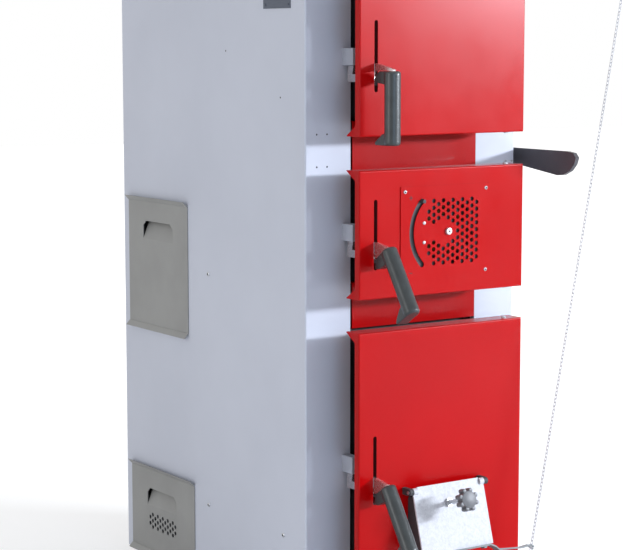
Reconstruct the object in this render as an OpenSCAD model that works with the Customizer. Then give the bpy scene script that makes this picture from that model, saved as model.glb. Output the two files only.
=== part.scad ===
// Solid fuel boiler with three doors, a secondary-air rosette, a chain-lifted air flap,
// a draught regulator, a start-up lever and two pull-off service covers.
// The origin is on the floor under the middle of the casing. X runs right along the front,
// Y runs into the boiler, Z is up.

/* [Casing] */
// Width of the casing
casing_w = 450; // [440:1:520]
// Depth of the casing
casing_d = 640; // [600:1:760]
// Height of the casing above the loading door
header_h = 53; // [49:1:110]
// Height of the skids under the casing
skid_h = 24; // [15:1:40]
// Width of one skid
skid_w = 30; // [20:1:40]
// Thickness of the casing sheet
sheet_t = 1.5; // [1:0.1:2]
// Distance of the left front column's edge inside the door covers
column_inset = 42; // [40:0.5:43]

/* [Doors] */
// Width of each door cover
door_w = 350; // [340:1:360]
// How far the door covers stand in front of the casing
door_proud = 86; // [84:1:92]
// Height of the loading door
loading_h = 264; // [250:1:270]
// Height of the stoking door
stoking_h = 215; // [205:1:225]
// Height of the ash door
ash_h = 472; // [460:1:480]
// Height of the ash door's lower edge above the skids
ash_lift = 40; // [34:1:50]
// Gap between two doors
door_gap = 56; // [50:1:60]
// Depth of a cover's top and bottom flanges
flange_d = 37; // [32:1:42]
// Depth of a cover's side flanges
side_flange_d = 12.5; // [10:0.5:16]
// Height of the gusset at each end of a side flange
gusset_h = 17; // [10:1:18]
// Bend radius of the covers
bend_r = 2.5; // [2:0.1:4]

/* [Hinges] */
// Distance of the hinge axis from the cover's right edge
hinge_inset = 28; // [26:1:32]
// Distance of the hinge axis behind the cover's face
hinge_back = 15; // [14:0.5:17]
// Radius of a hinge pin
hinge_pin_r = 4; // [3:0.1:5]
// Thickness of a hinge lug
lug_t = 8; // [6:0.5:9]
// Distance from a cover's end to the near side of a lug
lug_inset = 20; // [20:0.5:24]

/* [Handles] */
// Distance of the handle slots from the left edge of the covers
slot_inset = 33.4; // [32:0.1:35]
// Width of a handle slot
slot_w = 7.5; // [7:0.1:9]
// Height of a handle slot
slot_h = 118; // [110:1:130]
// Thickness of the latch arm
latch_t = 5.6; // [4:0.1:6]
// Radius of the latch pivot pin
latch_pin_r = 4; // [3:0.1:4.5]
// Depth of the latch pivot behind the cover's face
pivot_back = 11; // [10.8:0.1:12]
// Drop of the latch pivot below the slot's middle
pivot_drop = 36; // [32:1:40]
// Diameter of the plastic grip
grip_d = 27; // [24:1:29]
// Length of the plastic grip
grip_len = 121; // [105:1:126]
// Distance from the latch pivot forward to the grip's axis
grip_reach = 57; // [54:1:60]
// Lean of the grip on the two lower handles
grip_lean = 33.5; // [25:0.5:38]

/* [Air controls] */
// Half of the rosette plate's width
rosette_half_w = 95; // [93:1:98]
// Radius of the arc slot in the rosette
arc_r = 77.3; // [76:0.1:78]
// Width of the arc slot
arc_w = 9.5; // [8:0.5:11]
// Distance across the corners of a rosette hole
hex_d = 8.4; // [6:0.1:9]
// Step between rosette holes in a column
hex_step = 11.8; // [11.5:0.1:12]
// Half of the air flap's width
flap_half_w = 76; // [74:1:77]
// Height of the air flap below its hinge
flap_drop = 108.8; // [104:0.1:110]
// Tilt of the closed air flap
flap_tilt = 16.2; // [14:0.1:18]
// Length of the stud that carries the star knob
stud_len = 60; // [45:1:66]
// Outer diameter of the star knob
star_d = 39; // [34:1:42]
// Thickness of the chain's wire
wire_d = 1.4; // [1.2:0.1:1.5]

/* [Regulator and lever] */
// Depth of the draught regulator's axis below the casing's top
regulator_drop = 50; // [45:1:55]
// Length of the regulator's rod
rod_len = 210; // [200:1:215]
// Height of the start-up lever's shaft above the stoking door
lever_rise = 12; // [5:1:19]
// Radius of the start-up lever's shaft
lever_shaft_r = 6; // [5:0.1:7]

/* [Pipes] */
// Outer radius of the flue collar
flue_r = 80; // [70:1:85]
// Length of the flue spigot behind the casing
flue_len = 124; // [118:1:140]
// Depth of the flue's axis below the casing's top
flue_drop = 200; // [195:1:240]
// Bore radius of the flow and return sockets
socket_r = 21; // [16:0.5:24]
// Bore radius of the drain socket
drain_r = 9.5; // [8:0.5:10]

/* [Service covers] */
// Width of the upper service cover
upper_cover_w = 226.5; // [220:0.5:232]
// Width of the lower service cover
lower_cover_w = 244; // [238:1:250]
// Height of the upper service cover
upper_cover_h = 236; // [225:1:240]
// Height of the lower service cover
lower_cover_h = 159; // [154:1:162]
// How far the covers' lips stand out
lip = 9; // [7:0.5:10]

/* [Hidden] */

// General clearances and small sizes
channel_inset = 4;
cut = 1;
run = 0.05;
slip = 0.4;
seat_gap = 0.3;
bolt_r = 3;
big_fn = 64;
mid_fn = 32;

// Planes of the casing
front_y = -casing_d / 2;
rear_y = casing_d / 2;
side_x = casing_w / 2;
face_y = front_y - door_proud;

// Doors: lower and upper edges
ash_z0 = skid_h + ash_lift;
ash_z1 = ash_z0 + ash_h;
stoking_z0 = ash_z1 + door_gap;
stoking_z1 = stoking_z0 + stoking_h;
loading_z0 = stoking_z1 + door_gap;
loading_z1 = loading_z0 + loading_h;
doors = [[ash_z0, ash_z1], [stoking_z0, stoking_z1], [loading_z0, loading_z1]];
function middle(door) = (door[0] + door[1]) / 2;
casing_top = loading_z1 + header_h;
flue_z = casing_top - flue_drop;
regulator_z = casing_top - regulator_drop;
lever_z = stoking_z1 + lever_rise;
column_left = door_w / 2 - column_inset;
column_right = column_left + channel_inset;

// Water jacket and firebox
insul_t = 18.2;
plate_t = 8;
jacket_wall = 5;
fire_wall = 6;
water_gap = 49;
jacket_front_gap = 28;
jacket_rear_gap = 24;
jacket_rise = 16;
jacket_drop = 30;
behind_fire = 90;
over_fire = 50;
jacket_x = side_x - sheet_t - insul_t - seat_gap;
jacket_y0 = front_y + jacket_front_gap;
jacket_y1 = rear_y - jacket_rear_gap;
jacket_z0 = skid_h + jacket_rise;
jacket_z1 = casing_top - jacket_drop;
fire_x = jacket_x - jacket_wall - water_gap;
fire_y1 = jacket_y1 - behind_fire;
fire_z0 = jacket_z0 + jacket_wall;
fire_z1 = jacket_z1 - over_fire;
plate_front_y = jacket_y0 - plate_t;

// Mouths in the front plate: distances inside each door's edges
mouth_margins = [36, 28, 32];
mouth_inset = 63;
mouth_half_w = door_w / 2 - mouth_inset;
mouth_wall = 8;
function mouth_z0(i) = doors[i][0] + mouth_margins[i];
function mouth_z1(i) = doors[i][1] - mouth_margins[i];

// Inner doors: pressed boxes behind the covers
inner_gap = 13;
inner_rear = 7;
inner_out = 10;
inner_edge = 8;
inner_left = column_left - inner_out;
inner_right = inner_left + inner_edge;
inner_margin = 10;
inner_wall = 3;
inner_y0 = face_y + inner_gap;
inner_y1 = front_y - inner_rear;
plug_depth = 13;
plug_gap = 8;
rope_w = 12;
stand_off_r = 8;

// Hinges
hinge_x = door_w / 2 - hinge_inset;
hinge_y = face_y + hinge_back;
eye_r = 9;
ear_r = 8;
arm_far = 14;
arm_near = 5;
arm_x0 = hinge_x - arm_far;
arm_x1 = hinge_x - arm_near;
ear_t = lug_t - seat_gap;
pin_tip = 2.5;
pin_foot_r = 5.5;
pin_foot_t = 4;

// Latches: the catch is a light keeper on the left column
latch_x = -door_w / 2 + slot_inset;
pivot_y = face_y + pivot_back;
hub_r = 8;
hub_gap = 1;
nose_r0 = 54;
nose_r1 = 68;
nose_top = 20;
arm_drop = 7;
keeper_w = 16.5;
keeper_h = 28.5;
keeper_wall = 3;
keeper_front = 31;
keeper_drop = 1;

module frame_tube(half_w, z0, z1, wall, y0, y1)
{
    difference()
    {
        translate([-half_w - wall, y0, z0 - wall])
            cube([2 * (half_w + wall), y1 - y0, z1 - z0 + 2 * wall]);
        translate([-half_w, y0 - cut, z0])
            cube([2 * half_w, y1 - y0 + 2 * cut, z1 - z0]);
    }
}

// Skids and cross bars, the middle one down to the floor
module base_frame()
{
    bar = skid_w;
    skid_len = casing_d - 2 * bar;
    foot_x = side_x - bar / 3 - bar;
    color("dimgray")
    {
        for (x = [-foot_x - bar, foot_x])
            translate([x, -skid_len / 2, 0])
                cube([bar, skid_len, jacket_z0 - seat_gap]);
        for (y = [-skid_len / 2 + bar, skid_len / 2 - 2 * bar])
            translate([-foot_x, y, skid_h / 3])
                cube([2 * foot_x, bar, skid_h - skid_h / 3]);
        translate([-foot_x, -bar / 2, 0])
            cube([2 * foot_x, bar, skid_h]);
    }
}

// Front plate of the water jacket with its three mouths and their frames
module front_plate()
{
    color("dimgray")
    {
        difference()
        {
            translate([-jacket_x, plate_front_y, jacket_z0])
                cube([2 * jacket_x, plate_t, jacket_z1 - jacket_z0]);
            for (i = [0 : 2])
                translate([-mouth_half_w, plate_front_y - cut, mouth_z0(i)])
                    cube([2 * mouth_half_w, plate_t + 2 * cut, mouth_z1(i) - mouth_z0(i)]);
        }
        for (i = [0 : 2])
            frame_tube(mouth_half_w, mouth_z0(i), mouth_z1(i), mouth_wall, front_y - cut,
                plate_front_y);
    }
}

// Places of the sockets on the rear: [x, z, outer radius, bore radius]
socket_wall = 9;
socket_x = 120;
flow_drop = 70;
return_rise = 90;
drain_rise = 40;
flow_z = jacket_z1 - flow_drop;
return_z = jacket_z0 + return_rise;
drain_z = jacket_z0 + drain_rise;
rear_sockets = [[-socket_x, flow_z, socket_r + socket_wall, socket_r],
    [socket_x, return_z, socket_r + socket_wall, socket_r],
    [-socket_x, drain_z, drain_r + socket_wall / 2, drain_r]];
socket_out = 25;

// Right side fittings
regulator_back = 70;
regulator_y = front_y + regulator_back;
regulator_socket_r = 16;
lever_back = 95;
lever_y = front_y + lever_back;
bush_r = 12;

// Outer shell of the water jacket, open at the front where the plate closes it
module outer_jacket()
{
    color("dimgray")
    difference()
    {
        translate([-jacket_x, jacket_y0, jacket_z0])
            cube([2 * jacket_x, jacket_y1 - jacket_y0, jacket_z1 - jacket_z0]);
        translate([-jacket_x + jacket_wall, jacket_y0 - cut, jacket_z0 + jacket_wall])
            cube([2 * (jacket_x - jacket_wall), jacket_y1 - jacket_wall - jacket_y0 + cut,
                jacket_z1 - jacket_z0 - 2 * jacket_wall]);
        translate([0, jacket_y1 - jacket_wall - cut, flue_z])
            rotate([-90, 0, 0])
                cylinder(r = flue_r + seat_gap, h = jacket_wall + 2 * cut, $fn = big_fn);
        for (s = rear_sockets)
            translate([s[0], jacket_y1 - jacket_wall - cut, s[1]])
                rotate([-90, 0, 0])
                    cylinder(r = s[2] + seat_gap, h = jacket_wall + 2 * cut, $fn = mid_fn);
        translate([jacket_x - jacket_wall - cut, regulator_y, regulator_z])
            rotate([0, 90, 0])
                cylinder(r = regulator_socket_r + seat_gap, h = jacket_wall + 2 * cut, $fn = mid_fn);
        translate([jacket_x - jacket_wall - cut, lever_y, lever_z])
            rotate([0, 90, 0])
                cylinder(r = bush_r + seat_gap, h = jacket_wall + 2 * cut, $fn = mid_fn);
    }
}

// Firebox and ash space, with ledges for the grate
grate_drop = 205;
grate_z = ash_z1 - grate_drop;
grate_t = 20;
ledge_w = 15;
ledge_t = 6;
module firebox()
{
    in_x = fire_x - fire_wall;
    color("dimgray")
    {
        difference()
        {
            translate([-fire_x, jacket_y0, fire_z0])
                cube([2 * fire_x, fire_y1 - jacket_y0, fire_z1 - fire_z0]);
            translate([-in_x, jacket_y0 - cut, fire_z0 + fire_wall])
                cube([2 * in_x, fire_y1 - fire_wall - jacket_y0 + cut,
                    fire_z1 - fire_z0 - 2 * fire_wall]);
            translate([0, fire_y1 - fire_wall - cut, flue_z])
                rotate([-90, 0, 0])
                    cylinder(r = flue_r + seat_gap, h = fire_wall + 2 * cut, $fn = big_fn);
            translate([in_x - cut, lever_y, lever_z])
                rotate([0, 90, 0])
                    cylinder(r = bush_r + seat_gap, h = fire_wall + 2 * cut, $fn = mid_fn);
        }
        for (side = [-1, 1])
            translate([side > 0 ? in_x - ledge_w : -in_x, jacket_y0, grate_z - ledge_t])
                cube([ledge_w, fire_y1 - fire_wall - jacket_y0, ledge_t]);
    }
}

// Cast fire grate: bars on two bearers
module fire_grate()
{
    half = fire_x - fire_wall - seat_gap;
    bar_w = 12;
    bar_gap = 12;
    y0 = jacket_y0 + bar_gap;
    y1 = fire_y1 - fire_wall - bar_gap;
    count = floor((2 * half + bar_gap) / (bar_w + bar_gap));
    pitch = (2 * half - bar_w) / (count - 1);
    color("dimgray")
    {
        for (i = [0 : count - 1])
            translate([-half + i * pitch, y0, grate_z])
                cube([bar_w, y1 - y0, grate_t]);
        for (y = [y0 + bar_gap, (y0 + y1) / 2, y1 - bar_gap - bar_w])
            translate([-half, y, grate_z])
                cube([2 * half, bar_w, grate_t / 2]);
    }
}

// Plate that makes the flue gas turn down behind the fire
baffle_gap = 94;
baffle_drop = 72;
module flue_baffle()
{
    half = fire_x - fire_wall;
    baffle_y = fire_y1 - fire_wall - baffle_gap;
    baffle_z0 = stoking_z0 - baffle_drop;
    color("dimgray")
    translate([-half, baffle_y, baffle_z0])
        cube([2 * half, fire_wall, fire_z1 - fire_wall - baffle_z0]);
}

// Service cover places on the left side: [front edge y, lower edge z, height]
cover_rear_gap = 21;
lower_cover_rise = 11;
upper_cover_drop = 112;
cover_rear_y = rear_y - cover_rear_gap;
lower_cover_z = skid_h + lower_cover_rise;
upper_cover_z = stoking_z0 - upper_cover_drop;
service_covers = [[cover_rear_y - lower_cover_w, lower_cover_z, lower_cover_h],
    [cover_rear_y - upper_cover_w, upper_cover_z, upper_cover_h]];
window_inset = 20;

module side_windows(x0, t)
{
    for (c = service_covers)
        translate([x0, c[0] + window_inset, c[1] + window_inset])
            cube([t, cover_rear_y - c[0] - 2 * window_inset, c[2] - 2 * window_inset]);
}

// Insulation slabs on the sides, the back and the top of the jacket
module insulation()
{
    slab_z0 = jacket_z0;
    slab_z1 = jacket_z1;
    back_t = rear_y - sheet_t - seat_gap - jacket_y1;
    color("khaki")
    {
        difference()
        {
            translate([-jacket_x - insul_t, jacket_y0, slab_z0])
                cube([insul_t, jacket_y1 - jacket_y0, slab_z1 - slab_z0]);
            side_windows(-jacket_x - insul_t - cut, insul_t + 2 * cut);
        }
        difference()
        {
            translate([jacket_x, jacket_y0, slab_z0])
                cube([insul_t, jacket_y1 - jacket_y0, slab_z1 - slab_z0]);
            translate([jacket_x - cut, regulator_y, regulator_z])
                rotate([0, 90, 0])
                    cylinder(r = regulator_socket_r + cut, h = insul_t + 2 * cut, $fn = mid_fn);
            translate([jacket_x - cut, lever_y, lever_z])
                rotate([0, 90, 0])
                    cylinder(r = bush_r + cut, h = insul_t + 2 * cut, $fn = mid_fn);
        }
        difference()
        {
            translate([-jacket_x, jacket_y1, slab_z0])
                cube([2 * jacket_x, back_t, slab_z1 - slab_z0]);
            translate([0, jacket_y1 - cut, flue_z])
                rotate([-90, 0, 0])
                    cylinder(r = flue_r + cut, h = back_t + 2 * cut, $fn = big_fn);
            for (s = rear_sockets)
                translate([s[0], jacket_y1 - cut, s[1]])
                    rotate([-90, 0, 0])
                        cylinder(r = s[2] + cut, h = back_t + 2 * cut, $fn = mid_fn);
        }
        translate([-jacket_x, jacket_y0, jacket_z1])
            cube([2 * jacket_x, jacket_y1 - jacket_y0, casing_top - sheet_t - seat_gap - jacket_z1]);
    }
}

// One bent sheet: a casing side and the front column that is folded from it
column_return = 12;
corner_r = 3;
module bent_sheet(column_edge)
{
    translate([-side_x, front_y + corner_r])
        square([sheet_t, casing_d - corner_r]);
    intersection()
    {
        translate([-side_x + corner_r, front_y + corner_r])
            difference()
            {
                circle(r = corner_r, $fn = big_fn);
                circle(r = corner_r - sheet_t, $fn = big_fn);
            }
        translate([-side_x, front_y])
            square(corner_r);
    }
    translate([-side_x + corner_r, front_y])
        square([side_x - corner_r - column_edge, sheet_t]);
    translate([-column_edge - sheet_t, front_y])
        square([sheet_t, column_return]);
}

// Left side with the two windows behind the service covers
module side_panel_left()
{
    color([0.71, 0.72, 0.76])
    difference()
    {
        translate([0, 0, skid_h])
            linear_extrude(height = casing_top - sheet_t - skid_h)
                bent_sheet(column_left);
        side_windows(-side_x - cut, sheet_t + 2 * cut);
    }
}

// Room for the hinge lugs' arms, cut from x0 on
module lug_notches(x0, w)
{
    for (door = doors)
        for (z = [door[0] + lug_inset, door[1] - lug_inset - lug_t])
            translate([x0, front_y - cut, z - cut])
                cube([w, plate_front_y - front_y + 2 * cut, lug_t + 2 * cut]);
}

// Right side with notches for the hinge lugs and holes for the regulator and the lever
module side_panel_right()
{
    notch_w = arm_x1 - column_right + seat_gap + sheet_t;
    color([0.71, 0.72, 0.76])
    difference()
    {
        translate([0, 0, skid_h])
            linear_extrude(height = casing_top - sheet_t - skid_h)
                mirror([1, 0])
                    bent_sheet(column_right);
        lug_notches(column_right - cut, notch_w + cut);
        translate([side_x - sheet_t - cut, regulator_y, regulator_z])
            rotate([0, 90, 0])
                cylinder(r = regulator_socket_r + cut, h = sheet_t + 2 * cut, $fn = mid_fn);
        translate([side_x - sheet_t - cut, lever_y, lever_z])
            rotate([0, 90, 0])
                cylinder(r = bush_r + cut, h = sheet_t + 2 * cut, $fn = mid_fn);
    }
}

module top_cover()
{
    color([0.71, 0.72, 0.76])
    translate([-side_x, front_y, casing_top - sheet_t])
        cube([casing_w, casing_d, sheet_t]);
}

// Rear panel with holes for the flue and the pipes
module rear_panel()
{
    color([0.71, 0.72, 0.76])
    difference()
    {
        translate([-side_x + sheet_t, rear_y - sheet_t, skid_h])
            cube([casing_w - 2 * sheet_t, sheet_t, casing_top - sheet_t - skid_h]);
        translate([0, rear_y - sheet_t - cut, flue_z])
            rotate([-90, 0, 0])
                cylinder(r = flue_r + cut, h = sheet_t + 2 * cut, $fn = big_fn);
        for (s = rear_sockets)
            translate([s[0], rear_y - sheet_t - cut, s[1]])
                rotate([-90, 0, 0])
                    cylinder(r = s[2] + cut, h = sheet_t + 2 * cut, $fn = mid_fn);
    }
}

// Channel that fills the front between two heights, with flanges back to the front plate
channel_gap = 2;
module front_channel(z0, z1)
{
    w = column_left + column_right - channel_inset - seat_gap;
    difference()
    {
        union()
        {
            translate([-column_left + channel_inset, front_y, z0])
                cube([w, sheet_t, z1 - z0]);
            for (z = [z0, z1 - sheet_t])
                translate([-column_left + channel_inset, front_y, z])
                    cube([w, plate_front_y - front_y, sheet_t]);
        }
        lug_notches(arm_x0 - cut, arm_x1 - arm_x0);
    }
}

// Header over the loading door and rail under the ash door
module front_casing()
{
    color([0.71, 0.72, 0.76])
    {
        front_channel(mouth_z1(2) + mouth_wall + channel_gap, casing_top - sheet_t);
        front_channel(skid_h, mouth_z0(0) - mouth_wall - channel_gap);
    }
}

module cross_piece_upper()
{
    color("crimson")
        front_channel(mouth_z1(1) + mouth_wall + channel_gap, mouth_z0(2) - mouth_wall - channel_gap);
}

cross_drop = 5;
module cross_piece_lower()
{
    color("crimson")
        front_channel(ash_z1 - cross_drop, mouth_z0(1) - mouth_wall - channel_gap);
}

// Hinge lugs: an eye on an arm from the front plate, two for each door
module hinge_lugs()
{
    color("gray")
    for (door = doors)
        for (z = [door[0] + lug_inset, door[1] - lug_inset - lug_t])
            difference()
            {
                union()
                {
                    translate([hinge_x, hinge_y, z])
                        cylinder(r = eye_r, h = lug_t, $fn = mid_fn);
                    translate([arm_x0, hinge_y, z])
                        cube([arm_x1 - arm_x0, plate_front_y - hinge_y, lug_t]);
                }
                translate([hinge_x, hinge_y, z - cut])
                    cylinder(r = hinge_pin_r + run, h = lug_t + 2 * cut, $fn = mid_fn);
            }
}

// One hinge pin, its foot under the lug and its tip above the cover's flange
module hinge_pin()
{
    reach = lug_inset + lug_t;
    translate([0, 0, -reach])
        cylinder(r = hinge_pin_r, h = reach + pin_tip, $fn = mid_fn);
    translate([0, 0, -reach - pin_foot_t])
        cylinder(r = pin_foot_r, h = pin_foot_t, $fn = mid_fn);
}

module hinge_pins()
{
    color("silver")
    for (door = doors)
    {
        translate([hinge_x, hinge_y, door[1]])
            hinge_pin();
        translate([hinge_x, hinge_y, door[0]])
            mirror([0, 0, 1])
                hinge_pin();
    }
}

// Keepers on the left column: a pocket, open below, that a latch arm's nose rises into
module latch_catches()
{
    color("lightgray")
    for (door = doors)
        translate([latch_x - keeper_w / 2, front_y - keeper_front,
            middle(door) - keeper_drop - keeper_h / 2])
            difference()
            {
                cube([keeper_w, keeper_front, keeper_h]);
                translate([keeper_wall, keeper_wall, -cut])
                    cube([keeper_w - 2 * keeper_wall, keeper_front - 2 * keeper_wall,
                        keeper_h - keeper_wall + cut]);
            }
}

// Bare plate with two rivets near the top of the left side
plate_w = 85;
plate_h = 62;
plate_drop = 105.4;
plate_back = 43;
plate_bottom = casing_top - plate_drop;
name_plate_t = 0.8;
rivet_r = 2.2;
module name_plate()
{
    plate_y = front_y + plate_back;
    color("darkslategray")
    {
        translate([-side_x - name_plate_t, plate_y, plate_bottom])
            cube([name_plate_t, plate_w, plate_h]);
        for (y = [plate_y + 3 * rivet_r, plate_y + plate_w - 3 * rivet_r])
            translate([-side_x - name_plate_t, y, plate_bottom + 3 * rivet_r])
                rotate([0, -90, 0])
                    cylinder(r = rivet_r, h = name_plate_t, $fn = mid_fn);
    }
}

// Screws of the casing: [y or x, z] from the casing's own edges
screw_r = 4;
screw_head = 2;
top_screw_rise = 7;
cover_screw_gap = 51;
cover_screw_rise = 105;
front_screw_in = 70;
front_screw_rise = 103;
side_screws = [[0, stoking_z0 + top_screw_rise],
               [cover_rear_y - lower_cover_w - cover_screw_gap, ash_z0 + cover_screw_rise],
               [front_y + front_screw_in, ash_z0 + front_screw_rise]];
front_screws = [[side_x - 20, stoking_z1 - 1], [side_x - 6, stoking_z1 - 1]];
module casing_screws()
{
    color("silver")
    {
        for (side = [-1, 1])
            for (s = side_screws)
                translate([side * side_x, s[0], s[1]])
                    rotate([0, side * 90, 0])
                        cylinder(r = screw_r, h = screw_head, $fn = mid_fn);
        for (s = front_screws)
            translate([s[0], front_y, s[1]])
                rotate([90, 0, 0])
                    cylinder(r = screw_r / 2, h = screw_head, $fn = mid_fn);
    }
}

// Cleaning hatches on the jacket behind the service covers, each with two studs
hatch_t = 5;
hatch_in = 12;
module cleaning_hatches()
{
    inset = window_inset + hatch_in;
    color("dimgray")
    for (c = service_covers)
    {
        translate([-jacket_x - hatch_t, c[0] + inset, c[1] + inset])
            cube([hatch_t, cover_rear_y - c[0] - 2 * inset, c[2] - 2 * inset]);
        for (y = [c[0] + inset + 2 * screw_r, cover_rear_y - inset - 2 * screw_r])
            translate([-jacket_x - hatch_t, y, c[1] + c[2] - inset - 2 * screw_r])
                rotate([0, -90, 0])
                    cylinder(r = screw_r, h = screw_r, $fn = mid_fn);
    }
}

// Flue collar from the firebox's rear wall out of the casing
flue_wall = 3;
damper_r = 5;
spigot_len = 45;
spigot_r = flue_r - 1;
damper_back = 46;
damper_y = rear_y + damper_back;
module flue_collar()
{
    y0 = fire_y1 - fire_wall;
    color("dimgray")
    difference()
    {
        translate([0, y0, flue_z])
            rotate([-90, 0, 0])
            {
                cylinder(r = flue_r, h = rear_y + flue_len - spigot_len - y0, $fn = big_fn);
                cylinder(r = spigot_r, h = rear_y + flue_len - y0, $fn = big_fn);
            }
        translate([0, y0 - cut, flue_z])
            rotate([-90, 0, 0])
                cylinder(r = flue_r - flue_wall, h = rear_y + flue_len - y0 + 2 * cut, $fn = big_fn);
        translate([-flue_r - cut, damper_y, flue_z])
            rotate([0, 90, 0])
                cylinder(r = damper_r + run, h = 2 * (flue_r + cut), $fn = mid_fn);
    }
}

// Damper disc on its shaft, with a lever on the right end
module flue_damper()
{
    disc_t = 3;
    damper_gap = 2;
    shaft_out = 24;
    lever_len = 70;
    lever_t = 5;
    color("gray")
    translate([0, damper_y, flue_z])
    {
        cylinder(r = flue_r - flue_wall - damper_gap, h = disc_t, center = true, $fn = big_fn);
        translate([-flue_r - screw_r, 0, 0])
            rotate([0, 90, 0])
                cylinder(r = damper_r, h = 2 * flue_r + screw_r + shaft_out, $fn = mid_fn);
        translate([flue_r + shaft_out - lever_t, -damper_r, -damper_r])
            cube([lever_t, lever_len, 2 * damper_r]);
    }
}

// Pipe sockets on the rear, the regulator's socket and the lever's bush
module socket_tube(r_out, r_in, len)
{
    difference()
    {
        cylinder(r = r_out, h = len, $fn = mid_fn);
        translate([0, 0, -cut])
            cylinder(r = r_in, h = len + 2 * cut, $fn = mid_fn);
    }
}

bush_x0 = fire_x - fire_wall;
bush_out = 6;
bush_x1 = side_x + bush_out;
module boiler_sockets()
{
    y0 = jacket_y1 - jacket_wall;
    regulator_x0 = jacket_x - jacket_wall;
    color("dimgray")
    {
        for (s = rear_sockets)
            translate([s[0], y0, s[1]])
                rotate([-90, 0, 0])
                    socket_tube(s[2], s[3], rear_y + socket_out - y0);
        translate([regulator_x0, regulator_y, regulator_z])
            rotate([0, 90, 0])
                socket_tube(regulator_socket_r, regulator_thread_r + run, side_x + socket_lip - regulator_x0);
        translate([bush_x0, lever_y, lever_z])
            rotate([0, 90, 0])
                socket_tube(bush_r, lever_shaft_r + run, bush_x1 - bush_x0);
    }
}

// Draught regulator: stem in its socket, hexagon, body, and the spindle for rod and knob
regulator_thread_r = 10;
socket_lip = 7;
hex_len = 14;
hex_r = 18;
regulator_len = 98.7;
regulator_r = 20;
spindle_r = 4;
carrier_len = 18;
knob_len = 34;
carrier_x0 = side_x + socket_lip + hex_len + regulator_len + seat_gap;
knob_x0 = carrier_x0 + carrier_len + seat_gap;
module regulator_body()
{
    x0 = jacket_x - 2 * jacket_wall;
    hex_x = side_x + socket_lip;
    color("darkgray")
    translate([0, regulator_y, regulator_z])
        rotate([0, 90, 0])
        {
            translate([0, 0, x0])
                cylinder(r = regulator_thread_r, h = hex_x - x0, $fn = mid_fn);
            translate([0, 0, hex_x])
                cylinder(r = hex_r, h = hex_len, $fn = 6);
            translate([0, 0, hex_x + hex_len])
                cylinder(r = regulator_r, h = regulator_len, $fn = big_fn);
            translate([0, 0, hex_x + hex_len + regulator_len])
                cylinder(r = spindle_r, h = carrier_len + knob_len - spindle_r, $fn = mid_fn);
        }
}

// Rod in its carrier, with an eye for the chain at its tip
rod_r = 3;
rod_x = carrier_x0 + carrier_len / 2;
rod_tip_y = regulator_y - rod_len;
eye_out_r = 4.5;
eye_in_r = 1.8;
eye_t = 3;
rod_root = 8;
hanger_r = 4;
chain_top_z = regulator_z - 2 * hanger_r - wire_d - seat_gap;
module regulator_rod()
{
    carrier_r = 14;
    color("silver")
    {
        translate([carrier_x0, regulator_y, regulator_z])
            rotate([0, 90, 0])
                difference()
                {
                    cylinder(r = carrier_r, h = carrier_len, $fn = mid_fn);
                    translate([0, 0, -cut])
                        cylinder(r = spindle_r + run, h = carrier_len + 2 * cut, $fn = mid_fn);
                }
        translate([rod_x, regulator_y - rod_root, regulator_z])
            rotate([90, 0, 0])
                cylinder(r = rod_r - seat_gap, h = rod_len - rod_root - eye_in_r - cut, $fn = mid_fn);
        translate([rod_x, rod_tip_y, regulator_z])
            rotate([0, 90, 0])
                difference()
                {
                    cylinder(r = eye_out_r, h = eye_t, center = true, $fn = mid_fn);
                    cylinder(r = eye_in_r, h = eye_t + 2 * cut, center = true, $fn = mid_fn);
                }
    }
}

// Ring that hangs in the rod's eye and carries the chain
module chain_hanger()
{
    color("silver")
    translate([rod_x, rod_tip_y, regulator_z - hanger_r])
        rotate([90, 0, 0])
            rotate_extrude($fn = mid_fn)
                translate([hanger_r, 0])
                    circle(r = wire_d / 2, $fn = 16);
}

module regulator_knob()
{
    knob_r = 22;
    rib_count = 16;
    rib_r = 2;
    color("dimgray")
    translate([knob_x0, regulator_y, regulator_z])
        rotate([0, 90, 0])
            difference()
            {
                union()
                {
                    cylinder(r = knob_r - rib_r, h = knob_len, $fn = big_fn);
                    for (i = [0 : rib_count - 1])
                        rotate([0, 0, i * 360 / rib_count])
                            translate([knob_r - rib_r, 0, 0])
                                cylinder(r = rib_r, h = knob_len - rib_r, $fn = mid_fn);
                }
                translate([0, 0, -cut])
                    cylinder(r = spindle_r + run, h = knob_len - rib_r + cut, $fn = mid_fn);
            }
}

// Ash pan on the floor of the ash space, with a pull at the front
pan_t = 2;
module ash_pan()
{
    pan_h = 110;
    pan_gap = 12;
    half = mouth_half_w - pan_gap;
    y0 = jacket_y0 + pan_gap;
    y1 = fire_y1 - fire_wall - pan_gap;
    z0 = fire_z0 + fire_wall;
    color("dimgray")
    {
        difference()
        {
            translate([-half, y0, z0])
                cube([2 * half, y1 - y0, pan_h]);
            translate([-half + pan_t, y0 + pan_t, z0 + pan_t])
                cube([2 * (half - pan_t), y1 - y0 - 2 * pan_t, pan_h]);
        }
        translate([-half / 2, y0 - pan_gap / 2, z0 + pan_h - pan_gap])
            cube([half, pan_gap / 2, pan_t]);
    }
}

// Outline of a sheet block with both front corners rounded
module front_outline(w, d, r)
{
    translate([r, 0])
        square([w - 2 * r, d]);
    translate([0, r])
        square([w, d - r]);
    for (x = [r, w - r])
        translate([x, r])
            circle(r = r, $fn = mid_fn);
}

// Block with its four front edges rounded
module tray_block(w, h, d, r)
{
    intersection()
    {
        linear_extrude(height = h)
            front_outline(w, d, r);
        translate([w, 0, 0])
            rotate([0, -90, 0])
                linear_extrude(height = w)
                    front_outline(h, d, r);
    }
}

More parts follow.
